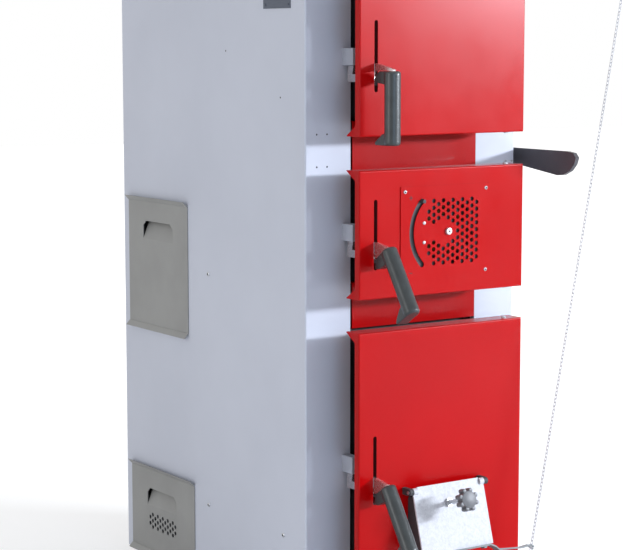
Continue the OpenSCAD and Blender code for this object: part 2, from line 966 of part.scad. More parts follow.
// Folded sheet cover of a door; children are the openings cut from it
module door_cover(door)
{
    h = door[1] - door[0];
    t = sheet_t;
    difference()
    {
        translate([-door_w / 2, face_y, door[0]])
            difference()
            {
                tray_block(door_w, h, flange_d, bend_r);
                translate([t, t, t])
                    tray_block(door_w - 2 * t, h - 2 * t, flange_d, bend_r - t);
                translate([-cut, 0, 0])
                    rotate([90, 0, 90])
                        linear_extrude(height = door_w + 2 * cut)
                            polygon([[side_flange_d, gusset_h], [flange_d, t], [flange_d + cut, t],
                                [flange_d + cut, h - t], [flange_d, h - t],
                                [side_flange_d, h - gusset_h]]);
            }
        translate([latch_x - slot_w / 2, face_y - cut, middle(door) - slot_h / 2 + slot_w / 2])
            cube([slot_w, sheet_t + 2 * cut, slot_h - slot_w]);
        for (side = [-1, 1])
            translate([latch_x, face_y - cut, middle(door) + side * (slot_h - slot_w) / 2])
                rotate([-90, 0, 0])
                    cylinder(r = slot_w / 2, h = sheet_t + 2 * cut, $fn = mid_fn);
        for (z = door)
            translate([hinge_x, hinge_y, z - sheet_t - cut])
                cylinder(r = hinge_pin_r + slip, h = 2 * (sheet_t + cut), $fn = mid_fn);
        children();
    }
}

// Inner door: pressed box with stand-offs, hinge ears and the latch's pivot pin
bracket_w = 12.6;
bracket_r = 12;
bracket_back = 25;
pivot_head_t = 2;
stand_off_in = 25;
module inner_door(door)
{
    h = door[1] - door[0] - 2 * inner_margin;
    pivot_z = middle(door) - pivot_drop;
    bracket_x = -inner_left - bracket_w;
    pin_end = latch_x - hub_half - hub_gap;
    color("dimgray")
    {
        difference()
        {
            translate([-inner_left, inner_y0, door[0] + inner_margin])
                cube([inner_left + inner_right, inner_y1 - inner_y0, h]);
            translate([-inner_left + inner_wall, inner_y0 + inner_wall,
                door[0] + inner_margin + inner_wall])
                cube([inner_left + inner_right - 2 * inner_wall, inner_y1 - inner_y0,
                    h - 2 * inner_wall]);
            children();
        }
        for (x = [-inner_left + stand_off_in / 2, inner_right - stand_off_in / 2])
            for (z = [door[0] + stand_off_in, door[1] - stand_off_in])
                translate([x, inner_y0, z])
                    rotate([90, 0, 0])
                        cylinder(r = stand_off_r, h = inner_gap - sheet_t, $fn = mid_fn);
        for (z = [door[0] + lug_inset - lug_t, door[1] - lug_inset + seat_gap])
            difference()
            {
                union()
                {
                    translate([hinge_x, hinge_y, z])
                        cylinder(r = ear_r, h = ear_t, $fn = mid_fn);
                    translate([inner_right, hinge_y - ear_r, z])
                        cube([hinge_x - inner_right, 2 * ear_r, ear_t]);
                }
                translate([hinge_x, hinge_y, z - cut])
                    cylinder(r = hinge_pin_r + run, h = ear_t + 2 * cut, $fn = mid_fn);
            }
        translate([bracket_x, pivot_y - bracket_r / 2, pivot_z - bracket_r])
            cube([bracket_w, bracket_back + bracket_r / 2, 2 * bracket_r]);
        translate([pin_end, pivot_y, pivot_z])
            rotate([0, 90, 0])
                cylinder(r = latch_pin_r, h = bracket_x - pin_end, $fn = mid_fn);
        translate([pin_end - pivot_head_t, pivot_y, pivot_z])
            rotate([0, 90, 0])
                cylinder(r = latch_pin_r + pivot_head_t, h = pivot_head_t, $fn = mid_fn);
    }
}

// Half width of a latch hub, between the bracket and the pin's head
hub_half = -inner_left - bracket_w - hub_gap - latch_x;

// Insulation board in an inner door, with the plug that enters the mouth
rope_back = front_y - cut - seat_gap;
rope_t = 11.7;
board_y1 = rope_back - rope_t - seat_gap;
module door_pad(i)
{
    door = doors[i];
    low = door[0] + inner_margin + inner_wall + seat_gap;
    high = door[1] - inner_margin - inner_wall - seat_gap;
    y0 = inner_y0 + inner_wall + seat_gap;
    half = mouth_half_w - plug_gap;
    color("beige")
    difference()
    {
        union()
        {
            translate([-inner_left + inner_wall + seat_gap, y0, low])
                cube([inner_left + inner_right - 2 * (inner_wall + seat_gap), board_y1 - y0,
                    high - low]);
            translate([-half, board_y1, mouth_z0(i) + plug_gap])
                cube([2 * half, inner_y1 + plug_depth - board_y1,
                    mouth_z1(i) - mouth_z0(i) - 2 * plug_gap]);
        }
        children();
    }
}

// Rope seal that presses on a mouth's frame
module door_seal(i)
{
    outer = mouth_wall - 2 * seat_gap;
    color("gainsboro")
    difference()
    {
        translate([-mouth_half_w - outer, board_y1 + seat_gap, mouth_z0(i) - outer])
            cube([2 * (mouth_half_w + outer), rope_t, mouth_z1(i) - mouth_z0(i) + 2 * outer]);
        translate([-mouth_half_w - outer + rope_w, board_y1, mouth_z0(i) - outer + rope_w])
            cube([2 * (mouth_half_w + outer - rope_w), rope_t + cut,
                mouth_z1(i) - mouth_z0(i) + 2 * outer - 2 * rope_w]);
    }
}

// A handle's place: at its latch pivot
module at_latch(door)
{
    translate([latch_x, pivot_y, middle(door) - pivot_drop])
        children();
}

// Turns a point given in shares of the grip's reach about the place where the grips lean
lean_centre = [-0.825, -0.026];
function leaned(p, a) = lean_centre + [(p - lean_centre)[0] * cos(a) + (p - lean_centre)[1] * sin(a),
    (p - lean_centre)[1] * cos(a) - (p - lean_centre)[0] * sin(a)];

// Side outline of a latch arm: nose, hub, and the blade that bends down into the grip.
// The blade's points are shares of the grip's reach: its root, the tab that leans with the
// grip, and its lower edge under an upright or a leaning grip.
blade_root = [[-0.1, 0.02], [0.12, 0.05], [0.06, 0.4], [-0.05, 0.44], [-0.28, 0.42],
    [-0.6, 0.375]];
blade_tab = [[-1.0, 0.29], [-1.06, 0.26], [-1.08, 0.2], [-1.08, -0.3], [-0.96, -0.3],
    [-0.96, 0.18], [-0.9, 0.224]];
upright_edge = [[-0.3, 0.224], [-0.12, 0.16]];
leaning_edge = [[-0.374, -0.026], [-0.2, -0.026]];
module latch_outline(lean)
{
    edge = lean > 0 ? leaning_edge : upright_edge;
    difference()
    {
        union()
        {
            circle(r = hub_r, $fn = mid_fn);
            translate([0, -arm_drop])
                square([nose_r0 + latch_t / 2, 2 * arm_drop - cut]);
            intersection()
            {
                difference()
                {
                    circle(r = nose_r1, $fn = big_fn);
                    circle(r = nose_r0, $fn = big_fn);
                }
                translate([0, -arm_drop])
                    square([nose_r1, nose_top + arm_drop]);
            }
            polygon([for (p = concat(blade_root, [for (q = blade_tab) leaned(q, lean)], edge))
                p * grip_reach]);
        }
        circle(r = latch_pin_r + run, $fn = mid_fn);
    }
}

module latch_arm(door, lean)
{
    color("silver")
    at_latch(door)
    {
        rotate([90, 0, 90])
            linear_extrude(height = latch_t, center = true)
                latch_outline(lean);
        rotate([0, 90, 0])
            difference()
            {
                cylinder(r = hub_r, h = 2 * hub_half, center = true, $fn = mid_fn);
                cylinder(r = latch_pin_r + run, h = 2 * hub_half + cut, center = true, $fn = mid_fn);
            }
    }
}

// Plastic grip: round bar with a neck towards the slot and a foot at the lower end
grip_top = 12;
neck_w_share = 0.7;
foot_w_share = 0.85;
neck_shares = [[-1, 0.21], [-0.53, 0.21], [-0.3, -0.05], [-0.4, -0.12], [-1, -0.12]];
foot_shares = [[-1, 0.16], [-0.76, 0.13], [-0.42, 0.05], [-0.37, 0.03], [-0.37, 0], [-1, 0]];
module grip(door, lean)
{
    r = grip_d / 2;
    low = grip_top - grip_len;
    centre = [0, lean_centre[0], lean_centre[1]] * grip_reach;
    color([0.22, 0.24, 0.25])
    at_latch(door)
        translate(centre)
        rotate([-lean, 0, 0])
        translate(-centre)
        difference()
        {
            union()
            {
                translate([0, -grip_reach, low])
                    cylinder(r = r, h = grip_len, $fn = mid_fn);
                rotate([90, 0, 90])
                    linear_extrude(height = neck_w_share * grip_d, center = true)
                        polygon([for (p = neck_shares) p * grip_reach]);
                translate([0, 0, low])
                    rotate([90, 0, 90])
                        linear_extrude(height = foot_w_share * grip_d, center = true)
                            polygon([for (p = foot_shares) [p[0] * grip_reach, p[1] * grip_len]]);
            }
            translate([-latch_t / 2 - seat_gap, -1.1 * grip_reach, -0.32 * grip_reach])
                cube([latch_t + 2 * seat_gap, 0.16 * grip_reach, grip_reach]);
        }
}

// Rosette on the stoking door
hub_in = 165.9;
hub_sink = 1.4;
hub_x = door_w / 2 - hub_in;
hub_z = middle(doors[1]) - hub_sink;
plate_y0 = face_y - sheet_t;
arc_half = 44;
peg_r = 3.2;
col_step = 10.24;
plate_shift = 5.1;
screw_dx = [-91.5, 81.5];
screw_dz = 70.7;
disc_r = 86;
disc_y = face_y + sheet_t + 2 * seat_gap;
disc_t = 1.5;
hub_bolt_r = 4;
hub_washer_r = 9;
half_plate_h = 79.5;

// Room in the cover's sheet behind the rosette plate
module rosette_room()
{
    intersection()
    {
        translate([hub_x, face_y - cut, hub_z])
            rotate([-90, 0, 0])
                cylinder(r = disc_r - 2 * cut, h = sheet_t + 2 * cut, $fn = big_fn);
        translate([hub_x - disc_r, face_y - cut, hub_z - screw_dz])
            cube([2 * disc_r, sheet_t + 2 * cut, 2 * screw_dz]);
    }
}

// One hole column of the rosette: its number and the steps of its holes from the middle
function column_steps(k) = k == -4 ? [-3, -2, 2, 3] : k % 2 == 0 ? [-4 : 4] : [-4.5 : 4.5];
function in_hub(k, z) = k <= 0
    ? abs(z) < 17 || norm([k * col_step, z]) < 20.6
    : norm([k * col_step, z]) < 20;

module rosette_plate()
{
    color("crimson")
    translate([hub_x, plate_y0, hub_z])
        difference()
        {
            translate([-rosette_half_w - plate_shift, 0, -half_plate_h])
                cube([2 * rosette_half_w, sheet_t, 2 * half_plate_h]);
            for (k = [-4 : 6])
                for (n = column_steps(k))
                    if (!in_hub(k, n * hex_step))
                        translate([k * col_step, -cut, n * hex_step])
                            rotate([-90, 0, 0])
                                cylinder(r = hex_d / 2, h = sheet_t + 2 * cut, $fn = 6);
            rotate([90, 0, 0])
                translate([0, 0, -sheet_t - cut])
                    arc_slot(sheet_t + 2 * cut);
            translate([0, -cut, 0])
                rotate([-90, 0, 0])
                    cylinder(r = hub_bolt_r + run, h = sheet_t + 2 * cut, $fn = mid_fn);
        }
}

// Arc slot round the hub on its left side, with round ends
module arc_slot(h)
{
    intersection()
    {
        difference()
        {
            cylinder(r = arc_r + arc_w / 2, h = h, $fn = big_fn);
            translate([0, 0, -cut])
                cylinder(r = arc_r - arc_w / 2, h = h + 2 * cut, $fn = big_fn);
        }
        linear_extrude(height = h)
            polygon([[0, 0], for (a = [180 - arc_half, 180 + arc_half])
                2 * arc_r * [cos(a), sin(a)]]);
    }
    for (a = [180 - arc_half, 180 + arc_half])
        rotate([0, 0, a])
            translate([arc_r, 0, 0])
                cylinder(r = arc_w / 2 - run, h = h, $fn = mid_fn);
}

// Shutter disc behind the plate, with a peg in the arc slot's upper end
module rosette_disc()
{
    peg_out = 7;
    color("dimgray")
    translate([hub_x, disc_y, hub_z])
    {
        difference()
        {
            rotate([-90, 0, 0])
                cylinder(r = disc_r, h = disc_t, $fn = big_fn);
            translate([0, -cut, 0])
                rotate([-90, 0, 0])
                    cylinder(r = hub_bolt_r + run, h = disc_t + 2 * cut, $fn = mid_fn);
            for (a = [15 : 60 : 345])
                rotate([0, a, 0])
                    translate([disc_r / 2, -cut, 0])
                        rotate([-90, 0, 0])
                            cylinder(r = disc_r / 6, h = disc_t + 2 * cut, $fn = mid_fn);
        }
        rotate([0, arc_half, 0])
            translate([-arc_r, -disc_y + plate_y0 - peg_out, 0])
                rotate([-90, 0, 0])
                    cylinder(r = peg_r, h = disc_y - plate_y0 + peg_out, $fn = mid_fn);
    }
}

// Four screws, two rivets and the hub bolt with its nut
module rosette_screws()
{
    head_t = 1.6;
    nut_y = disc_y + disc_t + seat_gap;
    nut_t = 5;
    color("lightgray")
    {
        for (dx = screw_dx)
            for (side = [-1, 1])
                translate([hub_x + dx, plate_y0, hub_z + side * screw_dz])
                    rotate([90, 0, 0])
                        cylinder(r = screw_r - cut, h = head_t, $fn = mid_fn);
        for (z = [-1, 1])
            translate([hub_x - 5 * col_step, plate_y0, hub_z + z * hex_step * 1.4])
                rotate([90, 0, 0])
                    cylinder(r = screw_r / 2, h = head_t / 2, $fn = mid_fn);
        translate([hub_x, plate_y0, hub_z])
            rotate([90, 0, 0])
                cylinder(r = hub_bolt_r + screw_head, h = 2 * screw_head, $fn = mid_fn);
        translate([hub_x, plate_y0, hub_z])
            rotate([-90, 0, 0])
                cylinder(r = hub_bolt_r, h = nut_y + nut_t - plate_y0, $fn = mid_fn);
        translate([hub_x, nut_y, hub_z])
            rotate([-90, 0, 0])
                cylinder(r = hub_bolt_r + 2 * screw_head, h = nut_t, $fn = 6);
    }
}

// Air flap on the ash door, placed at its hinge and tilted as it stands closed
flap_stands = 18;
flap_rise = 194;
flap_y = face_y - flap_stands;
flap_z = ash_z0 + flap_rise;
flap_t = 3;
flap_pin_r = 3;
knuckle_r = 6;
knuckle_in = 67;
pin_past = 10;
duct_wall = 2;
duct_side_gap = 4;
duct_half = flap_half_w - duct_side_gap;
duct_top = -8;
duct_foot_gap = 5;
duct_bottom = -flap_drop + duct_foot_gap;
module at_flap()
{
    translate([0, flap_y, flap_z])
        rotate([-flap_tilt, 0, 0])
            children();
}

// Duct between the ash door's cover and the flap, with the fixed knuckles
module flap_duct()
{
    lug_w = 7;
    lug_x = flap_half_w + cut;
    color("dimgray")
    {
        intersection()
        {
            at_flap()
                difference()
                {
                    translate([-duct_half, flap_t / 2 + seat_gap, duct_bottom])
                        cube([2 * duct_half, stud_len, duct_top - duct_bottom]);
                    translate([-duct_half + duct_wall, 0, duct_bottom + duct_wall])
                        cube([2 * (duct_half - duct_wall), 2 * stud_len,
                            duct_top - duct_bottom - 2 * duct_wall]);
                }
            translate([-duct_half - cut, face_y - 2 * stud_len, flap_z - 2 * flap_drop])
                cube([2 * (duct_half + cut), 2 * stud_len, 3 * flap_drop]);
        }
        for (side = [-1, 1])
            difference()
            {
                union()
                {
                    translate([side > 0 ? lug_x : -lug_x - lug_w, flap_y, flap_z])
                        rotate([0, 90, 0])
                            cylinder(r = knuckle_r, h = lug_w, $fn = mid_fn);
                    translate([side > 0 ? lug_x : -lug_x - lug_w, flap_y, flap_z - knuckle_r])
                        cube([lug_w, face_y - flap_y, 2 * knuckle_r]);
                }
                translate([side > 0 ? lug_x - cut : -lug_x - lug_w - cut, flap_y, flap_z])
                    rotate([0, 90, 0])
                        cylinder(r = flap_pin_r + run, h = lug_w + 2 * cut, $fn = mid_fn);
            }
    }
}

module flap_pin()
{
    pin_len = flap_half_w - knuckle_in + pin_past;
    color("silver")
    for (x = [-knuckle_in - pin_len, knuckle_in])
        translate([x, flap_y, flap_z])
            rotate([0, 90, 0])
                cylinder(r = flap_pin_r, h = pin_len, $fn = mid_fn);
}

// Flap sheet with a rolled knuckle at each end of its top edge
module flap_plate()
{
    top = 7;
    color("whitesmoke")
    at_flap()
        difference()
        {
            union()
            {
                translate([-flap_half_w, -flap_t / 2, -flap_drop])
                    cube([2 * flap_half_w, flap_t, flap_drop - knuckle_r + cut]);
                translate([-knuckle_in + cut, -flap_t / 2, -knuckle_r])
                    cube([2 * (knuckle_in - cut), flap_t, top + knuckle_r]);
                for (side = [-1, 1])
                    translate([side > 0 ? knuckle_in : -flap_half_w, 0, 0])
                        rotate([0, 90, 0])
                            cylinder(r = knuckle_r, h = flap_half_w - knuckle_in, $fn = mid_fn);
            }
            for (x = [-flap_half_w - cut, knuckle_in - cut / 2])
                translate([x, 0, 0])
                    rotate([0, 90, 0])
                        cylinder(r = flap_pin_r + run, h = flap_half_w - knuckle_in + 1.5 * cut,
                            $fn = mid_fn);
        }
}

stud_x = -5;
stud_drop = 27;
stud_r = 4;
module flap_stud()
{
    color("silver")
    at_flap()
        translate([stud_x, -flap_t / 2, -stud_drop])
            rotate([90, 0, 0])
            {
                cylinder(r = stud_r, h = stud_len, $fn = mid_fn);
                cylinder(r = 2 * stud_r, h = stud_r, $fn = 6);
            }
}

star_t = 18;
star_hub_t = 24;
module star_knob()
{
    lobes = 8;
    lobe_r = 4.6;
    color([0.58, 0.58, 0.62])
    at_flap()
        translate([stud_x, -flap_t / 2 - stud_len + star_hub_t - 2 * cut, -stud_drop])
            rotate([90, 0, 0])
                difference()
                {
                    union()
                    {
                        cylinder(r = star_d / 2 - lobe_r, h = star_t, $fn = big_fn);
                        translate([0, 0, -star_hub_t + star_t])
                            cylinder(r = star_d / 4, h = star_hub_t, $fn = mid_fn);
                        for (i = [0 : lobes - 1])
                            rotate([0, 0, i * 360 / lobes])
                                translate([star_d / 2 - lobe_r, 0, 0])
                                    cylinder(r = lobe_r, h = star_t, $fn = mid_fn);
                    }
                    translate([0, 0, -star_hub_t])
                        cylinder(r = stud_r + run, h = 2 * star_hub_t, $fn = mid_fn);
                }
}

// Bent flat arm under the flap: [x share of its reach, height under the flap's lower edge]
arm_reach = 166;
arm_w = 14;
arm_t = 3;
fork_gap = 7;
fork_len = 18;
arm_shares = [[-0.03, 0], [0.404, 0], [0.464, 0.047], [0.5, 0.1], [0.807, 0.139], [0.928, 0.124],
    [1, 0.197]];
function arm_top(i) = [arm_shares[i][0] * arm_reach, -flap_drop - arm_shares[i][1] * flap_drop];
module chain_arm()
{
    last = len(arm_shares) - 1;
    bolt_x = arm_reach * 0.34;
    color("gray")
    at_flap()
        difference()
        {
            union()
            {
                rotate([90, 0, 0])
                    linear_extrude(height = arm_w, center = true)
                        polygon([for (i = [0 : last]) arm_top(i),
                            for (i = [last : -1 : 0]) arm_top(i) - [0, arm_t]]);
                for (x = [stud_x + bolt_r, bolt_x])
                    translate([x, arm_w / 2 - 2 * bolt_r, -flap_drop - arm_t - bolt_r])
                        cylinder(r = 2 * bolt_r, h = bolt_r, $fn = 6);
            }
            translate([arm_reach - fork_len, -fork_gap / 2, -2 * flap_drop])
                cube([fork_len + cut, fork_gap, 2 * flap_drop]);
            translate([arm_reach - fork_len / 3, -arm_w, -2 * flap_drop])
                cube([fork_len, arm_w, 2 * flap_drop]);
        }
}

// Chain from the rod's eye down to the arm's fork
fork_x = arm_reach - fork_len / 2 - cut;
fork_share = 1.13;
ball_drop = 16;
fork_drop = flap_drop * fork_share;
chain_low_z = flap_z - fork_drop * cos(flap_tilt) - ball_drop;
ball_r = 5;
hook_len = 34;
chain_run = norm([rod_x - fork_x, chain_top_z - chain_low_z]);
chain_lean = atan2(rod_x - fork_x, chain_top_z - chain_low_z);

module chain()
{
    color("silver")
    translate([rod_x, rod_tip_y, chain_top_z])
        rotate([0, 180 + chain_lean, 0])
        {
            cylinder(r = wire_d, h = chain_run - hook_len, $fn = 16);
            translate([0, 0, chain_run - hook_len])
                cylinder(r = wire_d / 2, h = hook_len, $fn = 16);
            translate([0, 0, chain_run])
                sphere(r = ball_r, $fn = mid_fn);
        }
}

// Start-up lever: shaft through the jacket and a flat paddle that tapers to it.
// The paddle's points are shares of its reach and of its width.
paddle_reach = 250;
paddle_w = 43;
paddle_t = 8;
paddle_gap = 5;
paddle_shares = [[0, 0.22], [0.9, 0.22], [0.965, 0.17], [0.995, -0.02], [0.975, -0.3],
    [0.93, -0.57], [0.86, -0.75], [0.8, -0.78], [0.42, -0.5], [0, -0.22]];
module bypass_lever()
{
    x0 = -fire_x + fire_wall + channel_inset;
    x1 = bush_x1 + paddle_gap;
    color([0.27, 0.27, 0.28])
    translate([0, lever_y, lever_z])
    {
        translate([x0, 0, 0])
            rotate([0, 90, 0])
                cylinder(r = lever_shaft_r, h = x1 - x0 + paddle_t, $fn = mid_fn);
        translate([x1, 0, 0])
            rotate([90, 0, 90])
                linear_extrude(height = paddle_t)
                    union()
                    {
                        circle(r = 2 * lever_shaft_r - cut, $fn = mid_fn);
                        polygon([for (p = paddle_shares) [-p[0] * paddle_reach, p[1] * paddle_w]]);
                    }
    }
}

// Start-up flap on the lever's shaft, clamped by two eyes
module bypass_flap()
{
    half = fire_x - fire_wall - 2 * channel_inset;
    flap_len = 90;
    clamp_r = lever_shaft_r + channel_inset;
    clamp_w = 3 * lever_shaft_r;
    color("dimgray")
    translate([0, lever_y, lever_z])
    {
        translate([-half, clamp_r - cut, -flap_t / 2])
            cube([2 * half, flap_len, flap_t]);
        for (x = [-half, half - clamp_w])
            translate([x, 0, 0])
                rotate([0, 90, 0])
                    difference()
                    {
                        cylinder(r = clamp_r, h = clamp_w, $fn = mid_fn);
                        translate([0, 0, -cut])
                            cylinder(r = lever_shaft_r + run, h = clamp_w + 2 * cut, $fn = mid_fn);
                    }
    }
}

// Service cover: flat sheet with a lip at the top and bottom and a tongue for the fingers.
// The pull's outline is in shares of its own width and height.
cover_gap = 0.3;
pull_h = 34;
pull_w = 113.5;
pull_in = 14;
pull_drop = 37;
pull_shares = [[0, 0], [0, 0.73], [0.09, 1], [0.91, 1], [1, 0.73], [1, 0]];
module lip_strip(len, t)
{
    rotate([-90, 0, 0])
        linear_extrude(height = len)
            polygon([[0, 0], [-lip, -lip], [-lip - t, -lip], [-t - t / 2, 0]]);
}

module service_cover(y0, z0, h, pull_y)
{
    w = cover_rear_y - y0;
    drop = pull_drop;
    x = -side_x - cover_gap;
    t = sheet_t;
    difference()
    {
        union()
        {
            translate([x - t, y0, z0])
                cube([t, w, h]);
            translate([x, y0, z0 + h])
                lip_strip(w, t);
            translate([x, y0, z0])
                mirror([0, 0, 1])
                    lip_strip(w, t);
        }
        translate([x + cut, pull_y, z0 + h - drop - pull_h])
            rotate([90, 0, -90])
                mirror([1, 0])
                    linear_extrude(height = t + 2 * cut)
                        polygon([for (p = pull_shares) [p[0] * pull_w, p[1] * pull_h]]);
        children();
    }
    // Tongue: starts level with the sheet under the pull and dips in behind its upper edge
    translate([x, pull_y + pull_w, z0 + h - drop - pull_h])
        rotate([90, 0, 0])
            linear_extrude(height = pull_w)
                polygon([[-t, 0], [0, 0], [pull_in, pull_h], [pull_in - t, pull_h]]);
}

upper_pull_inset = 55.5;
lower_pull_inset = 68.5;
module service_cover_upper()
{
    c = service_covers[1];
    color([0.57, 0.57, 0.56])
        service_cover(c[0], c[1], c[2], c[0] + upper_pull_inset);
}

// Lower cover, with columns of air holes: two and three in turn
hole_step_y = 9.8;
hole_step_z = 12.2;
hole_r = 4;
hole_columns = 11;
holes_up = 58.5;
holes_back = 122.5;
module service_cover_lower()
{
    c = service_covers[0];
    mid_y = c[0] + holes_back;
    color([0.57, 0.57, 0.56])
        service_cover(c[0], c[1], c[2], c[0] + lower_pull_inset)
            for (i = [0 : hole_columns - 1])
                for (n = i % 2 == 0 ? [-0.5, 0.5] : [-1, 0, 1])
                    translate([-side_x - 2 * screw_r, mid_y + (i - (hole_columns - 1) / 2) * hole_step_y,
                        c[1] + holes_up + n * hole_step_z])
                        rotate([0, 90, 0])
                            cylinder(r = hole_r, h = 4 * screw_r, $fn = mid_fn);
}

// Openings for the air behind the rosette and behind the flap
module rosette_air()
{
    translate([hub_x, face_y - cut, hub_z])
        rotate([-90, 0, 0])
            cylinder(r = disc_r / 2, h = door_proud, $fn = big_fn);
}

module flap_air(h)
{
    translate([-duct_half + duct_wall + h, face_y - cut, flap_z + duct_bottom + 2 * h])
        cube([2 * (duct_half - duct_wall - h), 2 * door_proud, duct_top - duct_bottom - 4 * h]);
}

base_frame();
front_plate();
outer_jacket();
firebox();
fire_grate();
flue_baffle();
insulation();
side_panel_left();
side_panel_right();
top_cover();
rear_panel();
front_casing();
cross_piece_upper();
cross_piece_lower();
hinge_lugs();
hinge_pins();
latch_catches();
name_plate();
casing_screws();
cleaning_hatches();
flue_collar();
boiler_sockets();
regulator_body();
ash_pan();
color("crimson") door_cover(doors[2]);  // loading_cover
inner_door(doors[2]);  // loading_inner
door_pad(2);  // loading_pad
door_seal(2);  // loading_seal
latch_arm(doors[2], 0);  // loading_arm
grip(doors[2], 0);  // loading_grip
color("crimson") door_cover(doors[1]) rosette_room();  // stoking_cover
inner_door(doors[1]) rosette_air();  // stoking_inner
door_pad(1) rosette_air();  // stoking_pad
door_seal(1);  // stoking_seal
latch_arm(doors[1], grip_lean);  // stoking_arm
grip(doors[1], grip_lean);  // stoking_grip
color("crimson") door_cover(doors[0]) flap_air(0);  // ash_cover
inner_door(doors[0]) flap_air(duct_wall);  // ash_inner
door_pad(0) flap_air(duct_wall);  // ash_pad
door_seal(0);  // ash_seal
latch_arm(doors[0], grip_lean);  // ash_arm
grip(doors[0], grip_lean);  // ash_grip
rosette_plate();
rosette_disc();
rosette_screws();
flap_duct();
flap_pin();
flap_plate();
flap_stud();
chain_arm();
star_knob();
chain();
chain_hanger();
regulator_rod();
regulator_knob();
bypass_lever();
bypass_flap();
flue_damper();
service_cover_upper();
service_cover_lower();
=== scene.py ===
import math

import bmesh
import bpy
from mathutils import Matrix, Vector


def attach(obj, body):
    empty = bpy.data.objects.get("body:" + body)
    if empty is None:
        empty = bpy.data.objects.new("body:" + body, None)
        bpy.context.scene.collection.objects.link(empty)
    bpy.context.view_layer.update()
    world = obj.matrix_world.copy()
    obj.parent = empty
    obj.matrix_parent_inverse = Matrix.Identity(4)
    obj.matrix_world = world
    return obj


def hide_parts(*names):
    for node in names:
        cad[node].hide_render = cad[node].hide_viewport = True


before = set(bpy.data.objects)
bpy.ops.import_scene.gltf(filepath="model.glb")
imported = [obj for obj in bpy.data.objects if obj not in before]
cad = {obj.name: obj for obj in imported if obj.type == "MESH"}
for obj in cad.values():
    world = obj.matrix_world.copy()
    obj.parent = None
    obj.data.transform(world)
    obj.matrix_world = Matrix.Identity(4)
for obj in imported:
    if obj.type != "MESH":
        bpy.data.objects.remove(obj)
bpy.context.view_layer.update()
mm = 0.001


def linear(r, g, b):
    # a colour as the eye reads it, 0 to 255, in the scene's linear values
    return tuple(((v / 255 + 0.055) / 1.055) ** 2.4 if v > 10 else v / 255 / 12.92
                 for v in (r, g, b)) + (1,)


def inScene(name, data):
    thing = bpy.data.objects.new(name, data)
    bpy.context.scene.collection.objects.link(thing)
    return thing


# Camera, from the picture's vanishing lines
photo = {"width": 623, "focal": 1899, "place": (-1.9709, -2.9602, 1.0186), "yaw": 33.67, "pitch": 7.0,
         "roll": 0.06, "sensor": 36, "farthest": 60}


def makeCamera():
    lens = bpy.data.cameras.new("photoCamera")
    lens.sensor_width = photo["sensor"]
    lens.lens = lens.sensor_width * photo["focal"] / photo["width"]
    lens.clip_end = photo["farthest"]
    camera = inScene("photoCamera", lens)
    camera.location = photo["place"]
    camera.rotation_euler = (math.radians(90 - photo["pitch"]), math.radians(photo["roll"]),
                             math.radians(-photo["yaw"]))
    bpy.context.scene.camera = camera


# Studio: a white room, a floor that glows more with distance, and lamps, each with its name, place,
# aim, size, watts and tint
studio = {"roomLight": 0.46,
          "floor": {"half": 14, "sink": 0.0005, "squares": 8, "tone": 0.82, "toneSpread": 0.01,
                    "glow": (0.29, 0.5), "glowReach": (1.0, 4.0)},
          "lamps": [("keyLamp", (3.02, -3.22, 1.45), (0, -0.4, 0.9), (1.3, 0.27), 205, (0.84, 0.9, 1.0)),
                    ("doorLamp", (2.5, -3.5, 2.2), (0, -0.4, 1.1), (2.0, 1.0), 22, (0.82, 0.89, 1.0)),
                    ("fillLamp", (-1.2, -5.0, 1.3), (-0.2, -0.4, 0.8), (2.0, 2.0), 32, (0.4, 0.65, 1.0)),
                    ("sideLamp", (-6.0, -0.2, 1.6), (-0.2, 0, 0.7), (2.5, 2.5), 72, (0.98, 0.98, 1.0)),
                    ("topLamp", (0.2, 0.4, 4.2), (0, 0, 0.6), (2.4, 2.4), 50, (1.0, 1.0, 1.0))]}


def makeStudio():
    bpy.context.scene.view_settings.view_transform = "Standard"
    world = bpy.data.worlds.new("room")
    world.use_nodes = True
    bpy.context.scene.world = world
    tree = world.node_tree
    rays = tree.nodes.new("ShaderNodeLightPath")
    strength = tree.nodes.new("ShaderNodeMapRange")
    strength.inputs["To Min"].default_value = studio["roomLight"]
    strength.inputs["To Max"].default_value = 1.0
    seen = rays.outputs["Is Camera Ray"]
    for name in ("Is Glossy Ray", "Is Transmission Ray"):
        either = tree.nodes.new("ShaderNodeMath")
        either.operation = "MAXIMUM"
        tree.links.new(seen, either.inputs[0])
        tree.links.new(rays.outputs[name], either.inputs[1])
        seen = either.outputs[0]
    tree.links.new(seen, strength.inputs["Value"])
    tree.nodes["Background"].inputs["Color"].default_value = (1, 1, 1, 1)
    tree.links.new(strength.outputs[0], tree.nodes["Background"].inputs["Strength"])
    for name, place, aim, size, power, tint in studio["lamps"]:
        lamp = bpy.data.lights.new(name, "AREA")
        lamp.shape = "RECTANGLE"
        lamp.size, lamp.size_y = size
        lamp.energy = power
        lamp.color = tint
        light = inScene(name, lamp)
        light.location = place
        light.rotation_euler = (Vector(aim) - Vector(place)).to_track_quat("-Z", "Y").to_euler()


class Value:
    # a node's output, so that shader maths reads as an expression
    def __init__(self, paint, socket):
        self.paint = paint
        self.socket = socket

    def maths(self, operation, first, second):
        return self.paint.add("ShaderNodeMath", {"operation": operation}, {0: first, 1: second})

    def __add__(self, other):
        return self.maths("ADD", self, other)

    def __mul__(self, other):
        return self.maths("MULTIPLY", self, other)

    def __rsub__(self, other):
        return self.maths("SUBTRACT", other, self)

    def __gt__(self, other):
        return self.maths("GREATER_THAN", self, other)


